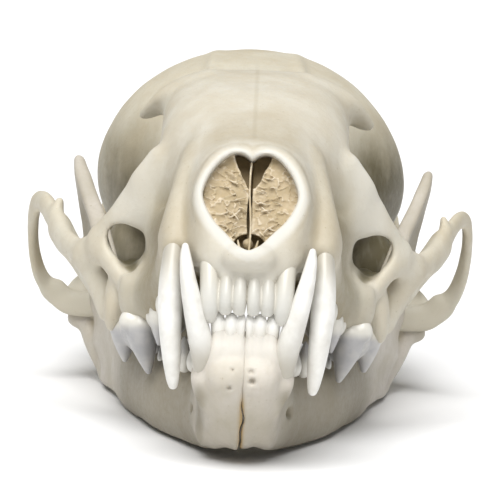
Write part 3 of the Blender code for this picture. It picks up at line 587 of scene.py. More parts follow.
# Teeth of one side, from root to edge: (x, y, z, half width, half depth)
UPPER_INCISORS = (
    ((0.64, 3.3, 1.6, 0.6, 0.7), (0.64, 2.7, 0.2, 0.63, 0.85), (0.645, 1.95, -1.2, 0.65, 0.95),
     (0.65, 1.5, -2.7, 0.66, 0.85), (0.65, 1.6, -3.7, 0.58, 0.42)),
    ((1.92, 3.4, 1.6, 0.6, 0.7), (1.92, 2.85, 0.2, 0.63, 0.85), (1.93, 2.15, -1.2, 0.65, 0.95),
     (1.95, 1.7, -2.7, 0.66, 0.85), (1.95, 1.8, -3.7, 0.58, 0.42)),
    ((4.1, 5.2, 3.2, 0.6, 0.7), (3.75, 3.6, 1.4, 0.88, 1.1), (3.56, 2.7, -0.8, 0.94, 1.2),
     (3.46, 2.15, -2.9, 0.9, 1.05), (3.4, 2.2, -4.0, 0.72, 0.7), (3.34, 2.3, -4.5, 0.45, 0.42)),
)
LOWER_INCISORS = (
    ((0.4, 5.0, -8.0, 0.32, 0.6), (0.4, 3.9, -6.6, 0.36, 0.6), (0.39, 3.05, -5.4, 0.37, 0.55),
     (0.38, 2.5, -4.6, 0.38, 0.45), (0.38, 2.5, -4.1, 0.33, 0.3)),
    ((1.2, 5.2, -8.0, 0.46, 0.7), (1.3, 4.0, -6.6, 0.52, 0.7), (1.35, 3.1, -5.4, 0.57, 0.6),
     (1.37, 2.6, -4.6, 0.6, 0.5), (1.37, 2.6, -4.1, 0.5, 0.32)),
    ((2.3, 5.1, -8.0, 0.55, 0.8), (2.48, 4.1, -6.6, 0.6, 0.8), (2.58, 3.4, -5.4, 0.64, 0.7),
     (2.62, 3.0, -4.6, 0.66, 0.6), (2.6, 3.0, -4.1, 0.52, 0.4)),
)
UPPER_CANINE = (
    (6.9, 9.6, 7.0, 0.8, 1.1), (7.1, 7.4, 3.8, 0.95, 1.45), (7.22, 5.9, 1.5, 1.0, 1.6),
    (7.28, 5.2, -0.8, 1.14, 1.7), (7.28, 4.9, -3.0, 1.16, 1.6), (7.16, 4.9, -5.2, 1.08, 1.38),
    (6.93, 5.4, -7.8, 0.92, 1.1), (6.74, 6.0, -9.9, 0.66, 0.75), (6.66, 6.3, -10.7, 0.46, 0.5),
)
LOWER_CANINE = (
    (3.3, 6.6, -10.8, 1.1, 1.4), (3.55, 5.3, -9.2, 1.2, 1.55), (4.2, 3.4, -6.4, 1.14, 1.45),
    (5.0, 2.2, -3.4, 0.96, 1.2), (5.6, 2.0, -0.8, 0.76, 0.95), (5.92, 2.5, 1.2, 0.55, 0.66),
    (6.02, 3.0, 2.3, 0.34, 0.38),
)
# Cheek teeth cusps: (x, y, z of gum, half thickness, half length, x, y, z of tip)
UPPER_CUSPS = (
    (7.9, 10.6, -1.0, 0.6, 0.8, 7.8, 10.5, -2.8),
    (8.1, 13.0, -2.2, 0.85, 1.55, 8.0, 12.8, -4.9),
    (8.7, 16.4, -3.0, 1.0, 2.0, 8.5, 16.0, -6.6),
    (9.1, 17.8, -3.4, 0.9, 1.0, 9.1, 17.8, -4.9),
    (10.7, 21.6, -4.2, 1.55, 2.4, 9.6, 22.3, -9.2),
    (10.6, 20.3, -4.3, 1.3, 1.1, 10.2, 20.1, -5.8),
    (12.5, 26.0, -4.0, 1.4, 2.4, 12.3, 26.8, -7.9),
    (11.6, 24.0, -4.2, 1.3, 2.2, 11.3, 24.2, -6.8),
    (9.0, 20.8, -3.4, 1.2, 1.2, 8.6, 20.6, -5.4),
    (13.0, 28.8, -3.4, 1.3, 1.6, 12.9, 28.9, -6.4),
    (12.4, 30.8, -3.2, 1.3, 1.4, 12.3, 30.8, -5.4),
    (8.2, 30.0, -2.8, 2.2, 1.9, 7.4, 30.1, -4.4),
    (7.6, 31.6, -2.6, 1.4, 1.0, 7.2, 31.8, -3.9),
    (11.7, 20.6, -3.8, 1.1, 1.0, 11.6, 20.5, -5.4),
)
LOWER_CUSPS = (
    (4.6, 10.0, -8.6, 0.5, 0.6, 4.6, 9.9, -7.5),
    (4.9, 12.4, -8.7, 0.7, 1.3, 5.0, 12.1, -6.5),
    (5.9, 15.8, -8.6, 0.8, 1.6, 6.0, 15.5, -5.6),
    (6.9, 19.8, -8.4, 0.9, 1.9, 7.0, 19.5, -4.9),
    (7.1, 20.9, -8.2, 0.8, 0.9, 7.2, 21.0, -6.1),
    (7.9, 24.4, -8.0, 1.0, 1.6, 7.8, 24.2, -5.0),
    (8.6, 27.3, -7.8, 1.15, 1.8, 8.7, 27.5, -3.6),
    (7.9, 28.4, -7.6, 0.8, 0.8, 7.7, 28.6, -4.8),
    (9.3, 30.7, -7.2, 1.3, 1.8, 9.5, 30.4, -5.7),
    (10.1, 33.7, -6.6, 0.9, 1.0, 10.1, 33.7, -5.5),
)
JAW_BODY = (
    (1.5, 3.4, -10.0, 2.0, 1.9), (1.6, 5.0, -10.4, 2.2, 2.9), (1.7, 7.4, -11.2, 2.3, 3.6),
    (2.2, 10.0, -12.3, 2.3, 4.1), (2.9, 13.8, -12.5, 2.3, 4.1), (5.0, 18.6, -11.9, 2.1, 4.1),
    (7.9, 25.0, -10.9, 2.0, 4.0), (10.1, 31.5, -9.7, 1.7, 3.9), (12.0, 38.0, -8.6, 1.4, 3.9),
    (13.5, 43.0, -7.5, 1.0, 3.3),
)
SYMPHYSIS = (
    (0.3, 3.6, -9.6, 2.1, 1.7), (0.3, 5.6, -10.8, 2.3, 3.0), (0.3, 9.0, -12.6, 2.1, 3.9),
    (0.5, 12.8, -13.5, 1.8, 3.1),
)
CANINE_SOCKET = (
    (3.2, 9.6, -13.2, 1.2, 1.5), (3.3, 7.2, -11.6, 1.5, 2.0), (3.5, 5.5, -9.8, 1.48, 1.95),
)
# Outline of the jaw's upright plate seen from the side: (y, z)
RAMUS = ((33.0, -7.6), (36.4, -7.0), (38.8, -3.8), (40.8, -0.2), (43.6, 4.8), (46.6, 9.8), (48.8, 13.4),
         (50.7, 15.7), (51.9, 15.5), (52.8, 13.6), (53.3, 10.6), (53.2, 6.8), (53.9, 3.0), (55.4, 0.4),
         (57.6, -0.6), (59.4, -0.8), (59.8, -2.4), (58.9, -4.0), (58.2, -5.4), (58.8, -6.8), (60.0, -7.8),
         (59.4, -8.9), (56.0, -9.6), (50.0, -10.2), (44.0, -11.4), (38.0, -12.6), (33.0, -13.2))
# How far out that plate stands: (z, x at RAMUS_MIDDLE, x gained with each millimetre back)
RAMUS_PLACE = (
    (-13.0, 13.4, 0.24),
    (-8.0, 14.8, 0.26),
    (-5.0, 16.1, 0.28),
    (-2.0, 16.1, 0.24),
    (3.0, 16.7, 0.24),
    (8.5, 17.7, 0.2),
    (12.0, 18.7, 0.12),
    (14.5, 19.4, 0.08),
    (17.0, 19.9, 0.06),
)
RAMUS_MIDDLE, RAMUS_TURN, RAMUS_ROUND = 50.0, 2.6, 0.6
CONDYLE_NECK = (
    (18.5, 58.4, -2.4, 1.0, 1.1), (17.8, 57.8, -4.4, 0.95, 1.2), (16.8, 57.2, -6.4, 0.9, 1.2),
    (15.8, 56.2, -8.2, 0.8, 1.0),
)
# Small holes: (x, y, z), radii
CHIN_HOLES = {
    1: (((0.75, 1.6, -9.3), 0.22), ((0.85, 1.7, -10.2), 0.24), ((0.7, 2.1, -11.8), 0.2)),
    -1: (((1.05, 1.6, -9.2), 0.22), ((1.25, 1.8, -10.9), 0.24), ((0.45, 2.3, -12.4), 0.18)),
}
MENTAL_HOLES = (((4.7, 8.0, -11.8), (1.2, 0.7, 0.75)), ((5.4, 12.4, -12.7), (1.2, 0.8, 0.6)))


def roughened(clay, seed):
    """Bone is never quite even: slow swells, then finer ones."""
    clay.field += 0.10 * clay.noise(8.0, seed) + 0.035 * clay.noise(2.4, seed + 1)
    clay.field += 0.014 * clay.noise(0.9, seed + 2)


def incisor_root(x):
    """The ridge over an upper incisor's root, x from the middle."""
    return ((x, 2.3 + 0.1 * x, -1.9, 0.55, 1.0), (x, 2.25 + 0.1 * x, -0.6, 0.7, 1.1),
            (x, 2.45 + 0.1 * x, 0.7, 0.66, 1.05), (x, 2.9, 1.8, 0.55, 0.85), (x, 3.5, 3.0, 0.4, 0.65))


def half_cranium():
    """The left half of the upper skull."""
    clay = Clay((0, -2.4, -6.5), (26.4, 88.6, 33.4), GRAIN)
    clay.add(core_shape(clay), 0)
    clay.add(clay.bar(TOOTH_BANK), 2.0)
    clay.add(clay.bar(RIM, up=BACK, steps=8), 1.5)
    clay.add(clay.bar(CANINE_JUGUM, up=BACK), 1.8)
    clay.add(clay.bar(MAXILLA_WALL), 1.2)
    clay.add(clay.bar(INCISOR_BANK), 0.8)
    clay.add(clay.bar(POSTORBITAL_PROCESS), 1.1)
    clay.add(clay.bar(ZYGOMATIC_ARCH, steps=6), 1.2)
    clay.add(clay.bar(MASSETER_SHEET), 1.5)
    clay.add(clay.bar(CHEEK_FOOT), 1.8)
    clay.add_mass(CHEEK_WEB)
    clay.add(clay.bar(ANTORBITAL_BAR), 1.6)
    clay.add(clay.bar(JUGAL_SPUR, up=BACK), 0.6)
    clay.add(clay.bar(TEMPORAL_LINE), 1.3)
    clay.add(clay.bar(EAR_SHELF), 2.0)
    clay.add(clay.bar(NUCHAL_CREST), 1.3)
    clay.add(clay.bar(OCCIPITAL_RIDGE), 1.6)
    clay.add(clay.bar(OCCIPITAL_CONDYLE, up=BACK), 0.9)
    clay.add(clay.bar(SAGITTAL_CREST), 1.2)
    clay.add(clay.bar(PTERYGOID_PLATE), 1.2)
    for mass in (MASTOID, SKULL_BASE, *ROOTS, GLENOID_BLOCK, PAROCCIPITAL, BULLA, *EAR_TUBE):
        clay.add_mass(mass)
    for x in INCISOR_ROOTS:
        clay.add(clay.bar(incisor_root(x), up=BACK), 0.35)
    clay.carve_mass(EAR_HOLE)
    clay.add(clay.bar(PREGLENOID), 0.8)
    clay.add(clay.bar(POSTGLENOID), 0.8)
    clay.carve(clay.bar(JAW_CONDYLE, up=BACK, grow=0.35), 0.3)
    clay.carve(clay.bar(CHOANA), 0.6)
    clay.carve_mass(SPINE_HOLE)
    clay.carve_mass(PALATE_HOLE)
    clay.soften(2)
    clay.carve_mass(CANAL_MOUTH)
    clay.carve(clay.bar(INFRAORBITAL_HOLE), 0.8)
    clay.carve(clay.bar(HOLE_FOOT), 0.6)
    return clay


def cranium_marks(clay, points):
    """Where the bone is painted darker or lighter, by name: stains and the seam, painted shade in hollows,
    the nose, the canal, the snout's sides and partly the flanks, and painted light partly on the
    antorbital bars.
    """
    x, y, z = points.T
    out, nose_edge = np.abs(x), heart_distance(x, z)

    # nose: painted shade on the walls inside the nasal opening.
    nose = np.clip(0.8 - nose_edge * 2, 0, 1) * np.clip((y - 5.4) / 2, 0, 1) * (y < 15)
    # flank: olive stain and painted shade on the braincase's lower sides, heavier on the side away from
    # the sun.
    flank = span(out, 8, 13.5, 19.6, 20.6) * span(y, 30, 50, 58, 74) * span(z, 1, 4, 13.5, 25)
    flank = flank * np.where(x > 0, 1.15, 0.82)
    # canal: painted shade inside the infraorbital canal.
    canal = span(y, 19, 22, 33, 38) * (out > 4) * fade(x * x, 180, 205) * span(z, -0.5, 1, 7, 10)
    canal = canal * np.maximum(ease(y, 23.6, 25), ease(crowding(clay, points, 2.5), 0.5, 0.62))
    # cheek: painted shade on the snout's sides, between the canine ridges and the antorbital bars.
    cheek = ease(out, 6.2, 8.6) * span(y, 7, 12, 16, 23) * fade(z, 5, 15)
    suture = np.exp(-(x / 0.14) ** 2) * span(y, 6, 9, 40, 60) * (z > 9)

    nasal = span(y, 5.6, 7.6, 10, 19) * fade(out, 3, 6) * ease(z, 8, 10)
    jugum = ease(out, 5, 6.4) * fade(y, 13, 17) * ease(z, 0, 2)
    # rim_line: a line of painted shade just outside the nasal rim.
    rim_line = np.exp(-((nose_edge - 1.35) / 0.28) ** 2) * fade(y, 5.5, 7) * ease(z, 2.5, 5)
    faint = np.maximum.reduce([nasal, jugum, 0.8 * rim_line])

    rim = fade(nose_edge / np.interp(z, (4, 11), (1.5, 0.8)), 0.55, 1) * fade(y, 6, 9)
    gum = fade(z, 0, 3) * fade(y, 4, 7)
    bar = span(out, 9.6, 11, 13, 14.6) * span(z, 4.5, 6.5, 13, 18) * fade(y, 25, 27)
    pillar = span(out, 9.6, 10.6, 12.6, 13.6) * fade(z, 0, 1.5) * (y < 26)
    socket = ease(out, 14, 16) * span(y, 51, 54, 62, 65) * fade(z, 2, 4)
    # Painted light: the antorbital bars are painted paler, more on the side away from the sun.
    bar = np.where(x > 0, 0.7, 0.45) * bar
    pale = np.maximum.reduce([rim, 0.5 * gum, bar, 0.35 * pillar, 0.6 * socket])
    # cave: how crowded a wide space round each point is, used for painted shade in broad hollows.
    return {"nose": nose, "rear": ease(y, 8, 60), "flank": flank, "pale": pale, "cheek": cheek,
            "suture": suture, "canal": canal, "faint": faint, "cave": crowding(clay, points, 4)}


def lean(points):
    """The braincase sits a little to the right of the snout's middle, flatter on its left."""
    x, y, z = points.T
    shift = -0.25 * ease(y, 44, 60) * np.maximum(ease(z, 4, 12), 0.5 * ease(x * x, 430, 500))
    flat = 0.03 * ease(y, 48, 60) * ease(z, 12, 24) * np.maximum(x, 0)
    return np.stack([x + shift - flat, y, z], 1)


def model_cranium():
    """The upper skull, whole."""
    clay = half_cranium().mirrored()
    clay.carve(nasal_passage(clay, 14.0), 0.15)
    clay.soften(1)
    roughened(clay, CRANIUM_SEED)
    return cast("cranium", clay, extra=lambda points: cranium_marks(clay, points), warp=lean)


def outline_distance(outline, a, b):
    """Signed distance, in a plane, to a smooth closed outline; negative inside."""
    edge = smooth_rows((*outline, outline[0]), 4)[:-1]
    near = np.full(np.broadcast(a, b).shape, FAR)
    inside = np.zeros(near.shape, bool)
    for (p, q), (r, s) in zip(edge, np.roll(edge, -1, 0)):
        run, rise = r - p, s - q
        t = np.clip(((a - p) * run + (b - q) * rise) / (run**2 + rise**2), 0, 1)
        near = np.minimum(near, np.hypot(a - p - t * run, b - q - t * rise))
        inside ^= ((q > b) != (s > b)) & (a < p + (b - q) * run / (rise + 1e-9))
    return np.where(inside, -near, near)


def ramus_shape(clay):
    """The jaw's upright plate, thin in the middle, hollowed outside for the chewing muscle."""
    at = clay.window((9, 31, -15), (22.6, 61.6, 17.2))
    x, y, z = clay.grid(at)
    edge = outline_distance(RAMUS, y, z)
    level, place, slant = np.array(RAMUS_PLACE).T
    back = np.minimum(y - RAMUS_MIDDLE, RAMUS_TURN * np.tanh((y - RAMUS_MIDDLE) / RAMUS_TURN))
    middle = np.interp(z, level, place) + np.interp(z, level, slant) * back
    taper = np.interp(z, (-12, 0, 10, 13.6, 15.6), (1.1, 1.0, 0.9, 0.76, 0.5))
    thick = (0.55 + 0.6 * np.exp(-(edge / 1.8) ** 2)) * taper
    fossa = 0.3 * np.exp(-((y - 49.5) / 4.5) ** 4 - ((z + 1.5) / 6.5) ** 4)
    faces = np.maximum(x - middle - thick + fossa, middle - x - thick)
    faces, edge = faces + RAMUS_ROUND, edge + RAMUS_ROUND
    round_edge = np.hypot(np.maximum(faces, 0), np.maximum(edge, 0))
    round_edge = round_edge + np.minimum(np.maximum(faces, edge), 0)
    return at, (round_edge - RAMUS_ROUND).astype(np.float32)


def lower_incisor_root(x, wide):
    """The ridge over a lower incisor's root."""
    return ((x, 3.25, -5.5, 0.8 * wide, 0.5), (x, 3.15, -6.4, wide, 0.5),
            (x, 3.05, -7.4, wide, 0.55), (1.1 * x, 3.2, -8.8, 0.7 * wide, 0.5))


def roughen_chin(clay, side):
    """Coarser bone beside the chin."""
    x, y, z = clay.grid(clay.everywhere())
    where = ease(np.abs(x), 2.9, 3.9) * fade(y, 11.0, 16.0) * ease(-z, 9.0, 10.5)
    clay.field += 0.3 * (where * clay.noise(1.5, CHIN_SEED + side, (1, 1, 2.2))).astype(np.float32)


def cut_seam(clay, side):
    """Cuts the half off along the chin's seam, which wanders and opens downwards."""
    x, _, z = clay.grid(clay.everywhere())
    opening = -0.1 + 0.17 * ease(-z, 10.0, 14.0)
    wander = (0.12 * np.sin(1.3 * z + 0.4) + 0.07 * np.sin(3.1 * z)) * np.clip((-8.5 - z) / 4, 0.2, 1)
    clay.field = np.maximum(clay.field, (opening - side * (x - wander)).astype(np.float32))


def jaw_marks(points):
    """Where the jaw is seamed or pale, and where shade is painted on it, by name."""
    x, y, z = points.T
    # Painted shade, gathered as rear: beside the chin, behind the coronoid's front edge, along the jaw's
    # body and ramus, and lower down.
    beside_chin = np.exp(-((np.abs(x) - 4.2) / 0.8) ** 2) * ease(-z, 10, 12) * fade(y, 9, 13)
    behind_edge = y - np.interp(z, (-0.2, 4.8, 9.8, 13.4), (40.8, 43.6, 46.6, 48.8))
    fossa = ease(behind_edge, 1.2, 3.2) * span(z, -2, 3, 9, 13)
    body = np.maximum(span(y, 8, 15, 34, 44), 0.4 * ease(z, -1, 5))
    rear = np.maximum.reduce([body, beside_chin, fossa, 0.4 * ease(-z, 10, 15)])
    return {"seam": np.exp(-(x / 0.25) ** 2) * ease(-z, 10.8, 12.8), "rear": rear,
            "pale": fade(y, 4.5, 7) * ease(z, -9.4, -6.8)}


def model_mandible(side):
    """Half of the lower jaw, shaped as the left one."""
    clay = Clay((-0.4, -0.4, -18.2), (22.6, 61.6, 17.2), GRAIN)
    clay.add(clay.bar(JAW_BODY), 0)
    clay.add(clay.bar(SYMPHYSIS), 0.8)
    clay.add(clay.bar(CANINE_SOCKET, up=BACK), 0.8)
    clay.add_mass(CHIN_MASS)
    for x, wide in LOWER_INCISOR_ROOTS:
        clay.add(clay.bar(lower_incisor_root(x, wide), up=BACK), 0.3)
    clay.add(ramus_shape(clay), 1.0)
    clay.add(clay.bar(JAW_CONDYLE, up=BACK), 0.8)
    clay.add(clay.bar(CONDYLE_NECK, up=BACK), 1.0)
    clay.carve_mass(JAW_HOLLOW)
    clay.soften(1)
    for place, radii in MENTAL_HOLES:
        clay.carve(clay.egg(place, radii), 0.3)
    clay.carve_mass(JAW_INNER_HOLE)
    for place, radius in CHIN_HOLES[side]:
        clay.carve(clay.egg(place, (radius, 0.5, radius * 1.2)), 0.2)
    if side < 0:
        clay.turn_over()
    roughened(clay, JAW_SEED + side)
    roughen_chin(clay, side)
    cut_seam(clay, side)
    return cast("mandible_left" if side > 0 else "mandible_right", clay, extra=jaw_marks)


def neck_mark(z, crown, root):
    """How far each point is from crown towards root, both heights."""
    return {"neck": ease((z - crown) / (root - crown), 0, 1)}


def model_incisors(name, teeth, low, high, crown, root):
    """A row of incisors, from the teeth of its left half."""
    clay = Clay(low, high, INCISOR_GRAIN)
    for rows in teeth:
        clay.add(clay.bar(rows, up=BACK, steps=6), 0.25)
    return cast(name, clay.mirrored(), 0.5, extra=lambda points: neck_mark(points[:, 2], crown, root))


def model_canine(name, rows, side, crown, root):
    """One canine, its surface even enough to need no hollows marked."""
    margin = 2.4
    points = np.array(rows)[:, :3]
    clay = Clay(points.min(0) - margin, points.max(0) + margin, CANINE_GRAIN)
    clay.add(clay.bar(rows, up=BACK, steps=8), 0)
    points, quads = skin(clay)
    if side < 0:
        points = points * (-1, 1, 1)
        quads = quads[:, ::-1]
    marks = {"hollow": np.full(len(points), 0.5), **neck_mark(points[:, 2], crown, root)}
    return mesh_object(name, points, quads, marks)


def doubled(points, quads):
    """The skin together with its mirror image across the middle plane."""
    other = points * (-1, 1, 1)
    return np.concatenate([points, other]), np.concatenate([quads, quads[:, ::-1] + len(points)])


def model_cheek_teeth(name, cusps, low, high, crown, root):
    """Both rows of cheek teeth, a tapering bar to each cusp."""
    clay = Clay(low, high, CHEEK_TOOTH_GRAIN)
    for x, y, z, wide, long, tip_x, tip_y, tip_z in cusps:
        foot, tip = np.array((x, y, z)), np.array((tip_x, tip_y, tip_z))
        rise = tip - foot
        rows = ((*(foot + 0.05 * rise), 0.95 * wide, 0.95 * long),
                (*(foot + 0.25 * rise), wide, long),
                (*(foot + 0.6 * rise), 0.66 * wide, 0.6 * long),
                (*(foot + 0.95 * rise), 0.24 * wide, 0.22 * long))
        clay.add(clay.bar(rows, up=BACK), 0.3)
    points, quads = skin(clay)
    hollow = crowding(clay, points, 0.7)
    points, quads = doubled(points, quads)
    marks = {"hollow": np.concatenate([hollow, hollow]), **neck_mark(points[:, 2], crown, root)}
    return mesh_object(name, points, quads, marks)


def scroll_front(z):
    """How far back the scrolled bone begins, by height."""
    return 2.6 + 0.32 * (z - 1.9)


STRANDS = 22
SCROLL_DEPTH = 1.7


def add_strands(clay, side):
    """Thin strands over the front of the scrolled bone, each ending in it."""
    rng = np.random.default_rng(STRAND_SEED + side)
    for _ in range(STRANDS):
        height = rng.uniform(3.4, 9.6)
        start = rng.uniform(0.2, 2.2)
        turn = rng.uniform(-0.9, 0.7)
        run = np.array((math.cos(turn), 0, math.sin(turn))) * rng.uniform(0.5, 1.5)
        first = np.array((start, scroll_front(height) - 0.2, height))
        bend = first + 0.5 * run + (0, rng.uniform(-0.1, 0.15), rng.uniform(-0.2, 0.2))
        last = first + run + (0, 0.32 * run[2] + 0.45, 0)
        rows = [(*point, size, size) for point, size in ((first, 0.09), (bend, 0.07), (last, 0.05))]
        clay.add(clay.bar(rows, steps=3, reach=0.5), 0.1)


def scroll_gaps(x, z, side, coarse):
    """The two gaps in the scrolled bone, above and below, and the slit along the septum."""
    above = np.maximum(np.maximum(x - 0.35 - 0.5 * (z - 8.2), 8.2 - z), x - 1.75)
    below = np.hypot(x / 1.5, (z - 2.7) / 1.1) - 1
    slit = 0.1 if side > 0 else 0.14 + 0.22 * np.exp(-((z - 5.6) / 2.0) ** 2)
    return np.minimum(np.minimum(above + 0.1 * coarse, below), x - slit)


def model_turbinates(side):
    """Scrolled bone: a crumpled mass behind a lace of thin ridges and strands."""
    clay = Clay((0, 1.8, 1.2), (5.2, 9.8, 12.4), SCROLL_GRAIN)
    x, y, z = clay.grid(clay.everywhere())
    drift = 0.5 * clay.noise(1.4, DRIFT_SEED + side, (1, 50, 1))
    coarse = clay.noise(0.42, COARSE_SEED + side, (1.2, 6, 0.9))
    fine = clay.noise(0.2, FINE_SEED + side, (1.2, 5, 0.9))
    front = scroll_front(z) + 0.35 * drift
    lace = np.maximum((np.abs(coarse + 0.6 * fine) - 0.1) * 0.3, front - 0.02 - y)
    mass = front + 0.12 + 0.05 * coarse + 0.05 * fine - y
    clay.field = smooth_min(lace, mass, 0.12)
    add_strands(clay, side)
    clay.field = np.maximum(clay.field, heart_distance(side * x, z) + 0 * y - 0.1)
    gaps = np.maximum(scroll_gaps(x, z, side, coarse), y - scroll_front(z) - SCROLL_DEPTH)
    clay.field = np.maximum(clay.field, -gaps).astype(np.float32)
    clay.close()
    points, quads = main_part(*skin(clay))
    # deep marks how far behind the front each point lies, for painted shade deep in the nose.
    deep = ease(points[:, 1] - scroll_front(points[:, 2]), 0.75, 1.3)
    marks = {"hollow": crowding(clay, points, 0.35), "deep": deep}
    if side < 0:
        points = points * (-1, 1, 1)
        quads = quads[:, ::-1]
    return mesh_object("turbinates_left" if side > 0 else "turbinates_right", points, quads, marks)


def septum_curl(way):
    """The curl at the septum's foot, way 1 on the left and -1 on the right."""
    middle = -0.15
    return ((0.95 * way + middle, 3.3, 3.1, 0.1, 0.1), (0.75 * way + middle, 3.2, 2.4, 0.12, 0.2),
            (0.3 * way + middle, 3.3, 2.0, 0.08, 0.1))


def model_septum():
    """The thin upright plate in the nose, with its swollen foot and two curls."""
    clay = Clay((-1.4, 2.2, 1.0), (1.4, 9.8, 12.4), SCROLL_GRAIN)
    x, y, z = clay.grid(clay.everywhere())
    bend = 0.1 * np.sin((z - 2) * 0.7) + 0.05 * np.sin(y * 0.9) + 0.8 * HEART_SHIFT
    plate = np.abs(x - bend) - 0.085 - 0.02 * clay.noise(0.8, SEPTUM_SEED)
    clay.field = np.maximum(plate, scroll_front(z) - 0.1 + 0.1 * np.sin(z * 2) - y).astype(np.float32)
    clay.field = np.maximum(clay.field, heart_distance(x, z) - 0.1 + 0 * y).astype(np.float32)
    clay.add(clay.egg((-0.15, 4.6, 2.85), (0.55, 1.6, 0.55)), 0.2)
    for way in (-1, 1):
        clay.add(clay.bar(septum_curl(way), up=BACK, reach=0.5), 0.1)
    clay.close()

    # deep marks the septum for painted shade deep in the nose.
    def marks(points):
        return {"deep": ease(points[:, 1] - scroll_front(points[:, 2]), 0.6, 1.4)}

    return cast("nasal_septum", clay, 0.5, extra=marks)


class Nodes:
    """Short hand for a material's node tree."""

    def __init__(self, name):
        self.material = bpy.data.materials.new(name)
        self.material.use_nodes = True
        self.tree = self.material.node_tree
        self.shader = self.tree.nodes["Principled BSDF"]

    def add(self, kind, inputs=None, **settings):
        """A node whose inputs are values or other nodes' sockets."""
        node = self.tree.nodes.new(kind)
        for key, value in settings.items():
            setattr(node, key, value)
        for key, value in (inputs or {}).items():
            if isinstance(value, bpy.types.NodeSocket):
                self.tree.links.new(value, node.inputs[key])
            else:
                node.inputs[key].default_value = value
        return node

    def place(self, stretch):
        """Coordinates in millimetres, squeezed along each axis."""
        coords = self.add("ShaderNodeTexCoord").outputs["Object"]
        mapping = self.add("ShaderNodeMapping", {"Vector": coords})
        mapping.inputs["Scale"].default_value = [s / MM for s in stretch]
        return mapping.outputs["Vector"]

    def noise(self, scale, detail=4.0, rough=0.55, stretch=(1, 1, 1)):
        """Scale counts lumps a millimetre."""
        return self.add("ShaderNodeTexNoise", {"Vector": self.place(stretch), "Scale": scale,
                                               "Detail": detail, "Roughness": rough}).outputs["Fac"]

    def mark(self, name):
        """Values kept on the mesh points under a name."""
        return self.add("ShaderNodeAttribute", attribute_name=name).outputs["Fac"]

    def ramp(self, value, low, high, out_low=0.0, out_high=1.0):
        """A value's range from low to high, stretched to another range."""
        return self.add("ShaderNodeMapRange", {"Value": value, "From Min": low, "From Max": high,
                                               "To Min": out_low, "To Max": out_high}).outputs["Result"]

    def math(self, operation, a, b):
        return self.add("ShaderNodeMath", {0: a, 1: b}, operation=operation).outputs["Value"]

    def mix(self, amount, a, b, blend="MIX"):
        """Colour a with amount of colour b laid over it."""
        node = self.add("ShaderNodeMix", data_type="RGBA", blend_type=blend)
        for index, value in ((0, amount), (6, a), (7, b)):
            if isinstance(value, bpy.types.NodeSocket):
                self.tree.links.new(value, node.inputs[index])
            elif index:
                node.inputs[index].default_value = (*value, 1)
            else:
                node.inputs[index].default_value = value
        return node.outputs[2]

    def finish(self, colour, roughness, height=None, strength=0.3, distance=0.05, scatter=0.0):
        """Joins colour, roughness and relief to the shader."""
        shader = self.shader
        self.tree.links.new(colour, shader.inputs["Base Color"])
        self.tree.links.new(roughness, shader.inputs["Roughness"])
        if height is not None:
            bump = self.add("ShaderNodeBump", {"Height": height, "Strength": strength,
                                               "Distance": distance * MM})
            self.tree.links.new(bump.outputs["Normal"], shader.inputs["Normal"])
        if scatter:
            shader.inputs["Subsurface Weight"].default_value = scatter
            shader.inputs["Subsurface Radius"].default_value = (1.0, 0.75, 0.5)
            shader.inputs["Subsurface Scale"].default_value = 0.8 * MM
        return self.material


# Colours, as linear red, green and blue
# The dark bone colours serve for pinholes and the suture, and as painted shade in hollows.
BONE_LIGHT, BONE_STAIN, BONE_DARK = (0.60, 0.57, 0.49), (0.52, 0.47, 0.37), (0.30, 0.25, 0.15)
JAW_LIGHT, JAW_STAIN, JAW_DARK = (0.58, 0.54, 0.48), (0.48, 0.44, 0.36), (0.28, 0.23, 0.14)
# The cave tint is painted shade in broad hollows.
# The flank colour is olive stain and painted shade on the braincase's sides.
CAVE_SHADE_TINT, FLANK_STAIN_AND_SHADE = (0.72, 0.69, 0.60), (0.13, 0.112, 0.065)
# Of the scrolled bone's colours, the one laid off the thin edges is partly its own tone and partly painted
# shade; the hollow and deep ones are painted shade; blotches and grains are its own mottling.
SCROLL_LIGHT, SCROLL_STAIN_AND_SHADE, SCROLL_BLOTCH = (0.66, 0.575, 0.44), (0.44, 0.35, 0.22), (0.36, 0.28, 0.155)
SCROLL_HOLLOW_SHADE, SCROLL_GRAINS, SCROLL_DEEP_SHADE = (0.30, 0.22, 0.12), (0.46, 0.36, 0.22), (0.23, 0.165, 0.075)
# Tints laid on where a piece is marked: mark, colour, how they blend
CRANIUM_TINTS = (
    # pale is partly painted light, on the antorbital bars.
    ("pale", (0.62, 0.60, 0.54), "MIX"),
    ("rear", (0.92, 0.90, 0.84), "MULTIPLY"),
    # cheek is painted shade on the snout's sides.
    ("cheek", (0.56, 0.53, 0.45), "MULTIPLY"),
    # faint darkens the nasal bones and canine ridges, and paints shade just outside the nasal rim.
    ("faint", (0.85, 0.82, 0.76), "MULTIPLY"),
)
# Painted shade inside the infraorbital canal and inside the nasal opening.
CRANIUM_HOLLOW_SHADE = (
    ("canal", (0.15, 0.13, 0.072), "MIX"),
    ("nose", (0.22, 0.15, 0.07), "MIX"),
)
JAW_TINTS = (
    ("pale", (0.66, 0.63, 0.57), "MIX"),
    # rear is painted shade on the jaw's sides, beside the chin and behind the coronoid's front edge.
    ("rear", (0.54, 0.52, 0.455), "MULTIPLY"),
    ("seam", (0.36, 0.25, 0.11), "MIX"),
)


def tinted(nodes, colour, tints):
    for mark, tint, blend in tints:
        colour = nodes.mix(nodes.mark(mark), colour, tint, blend)
    return colour


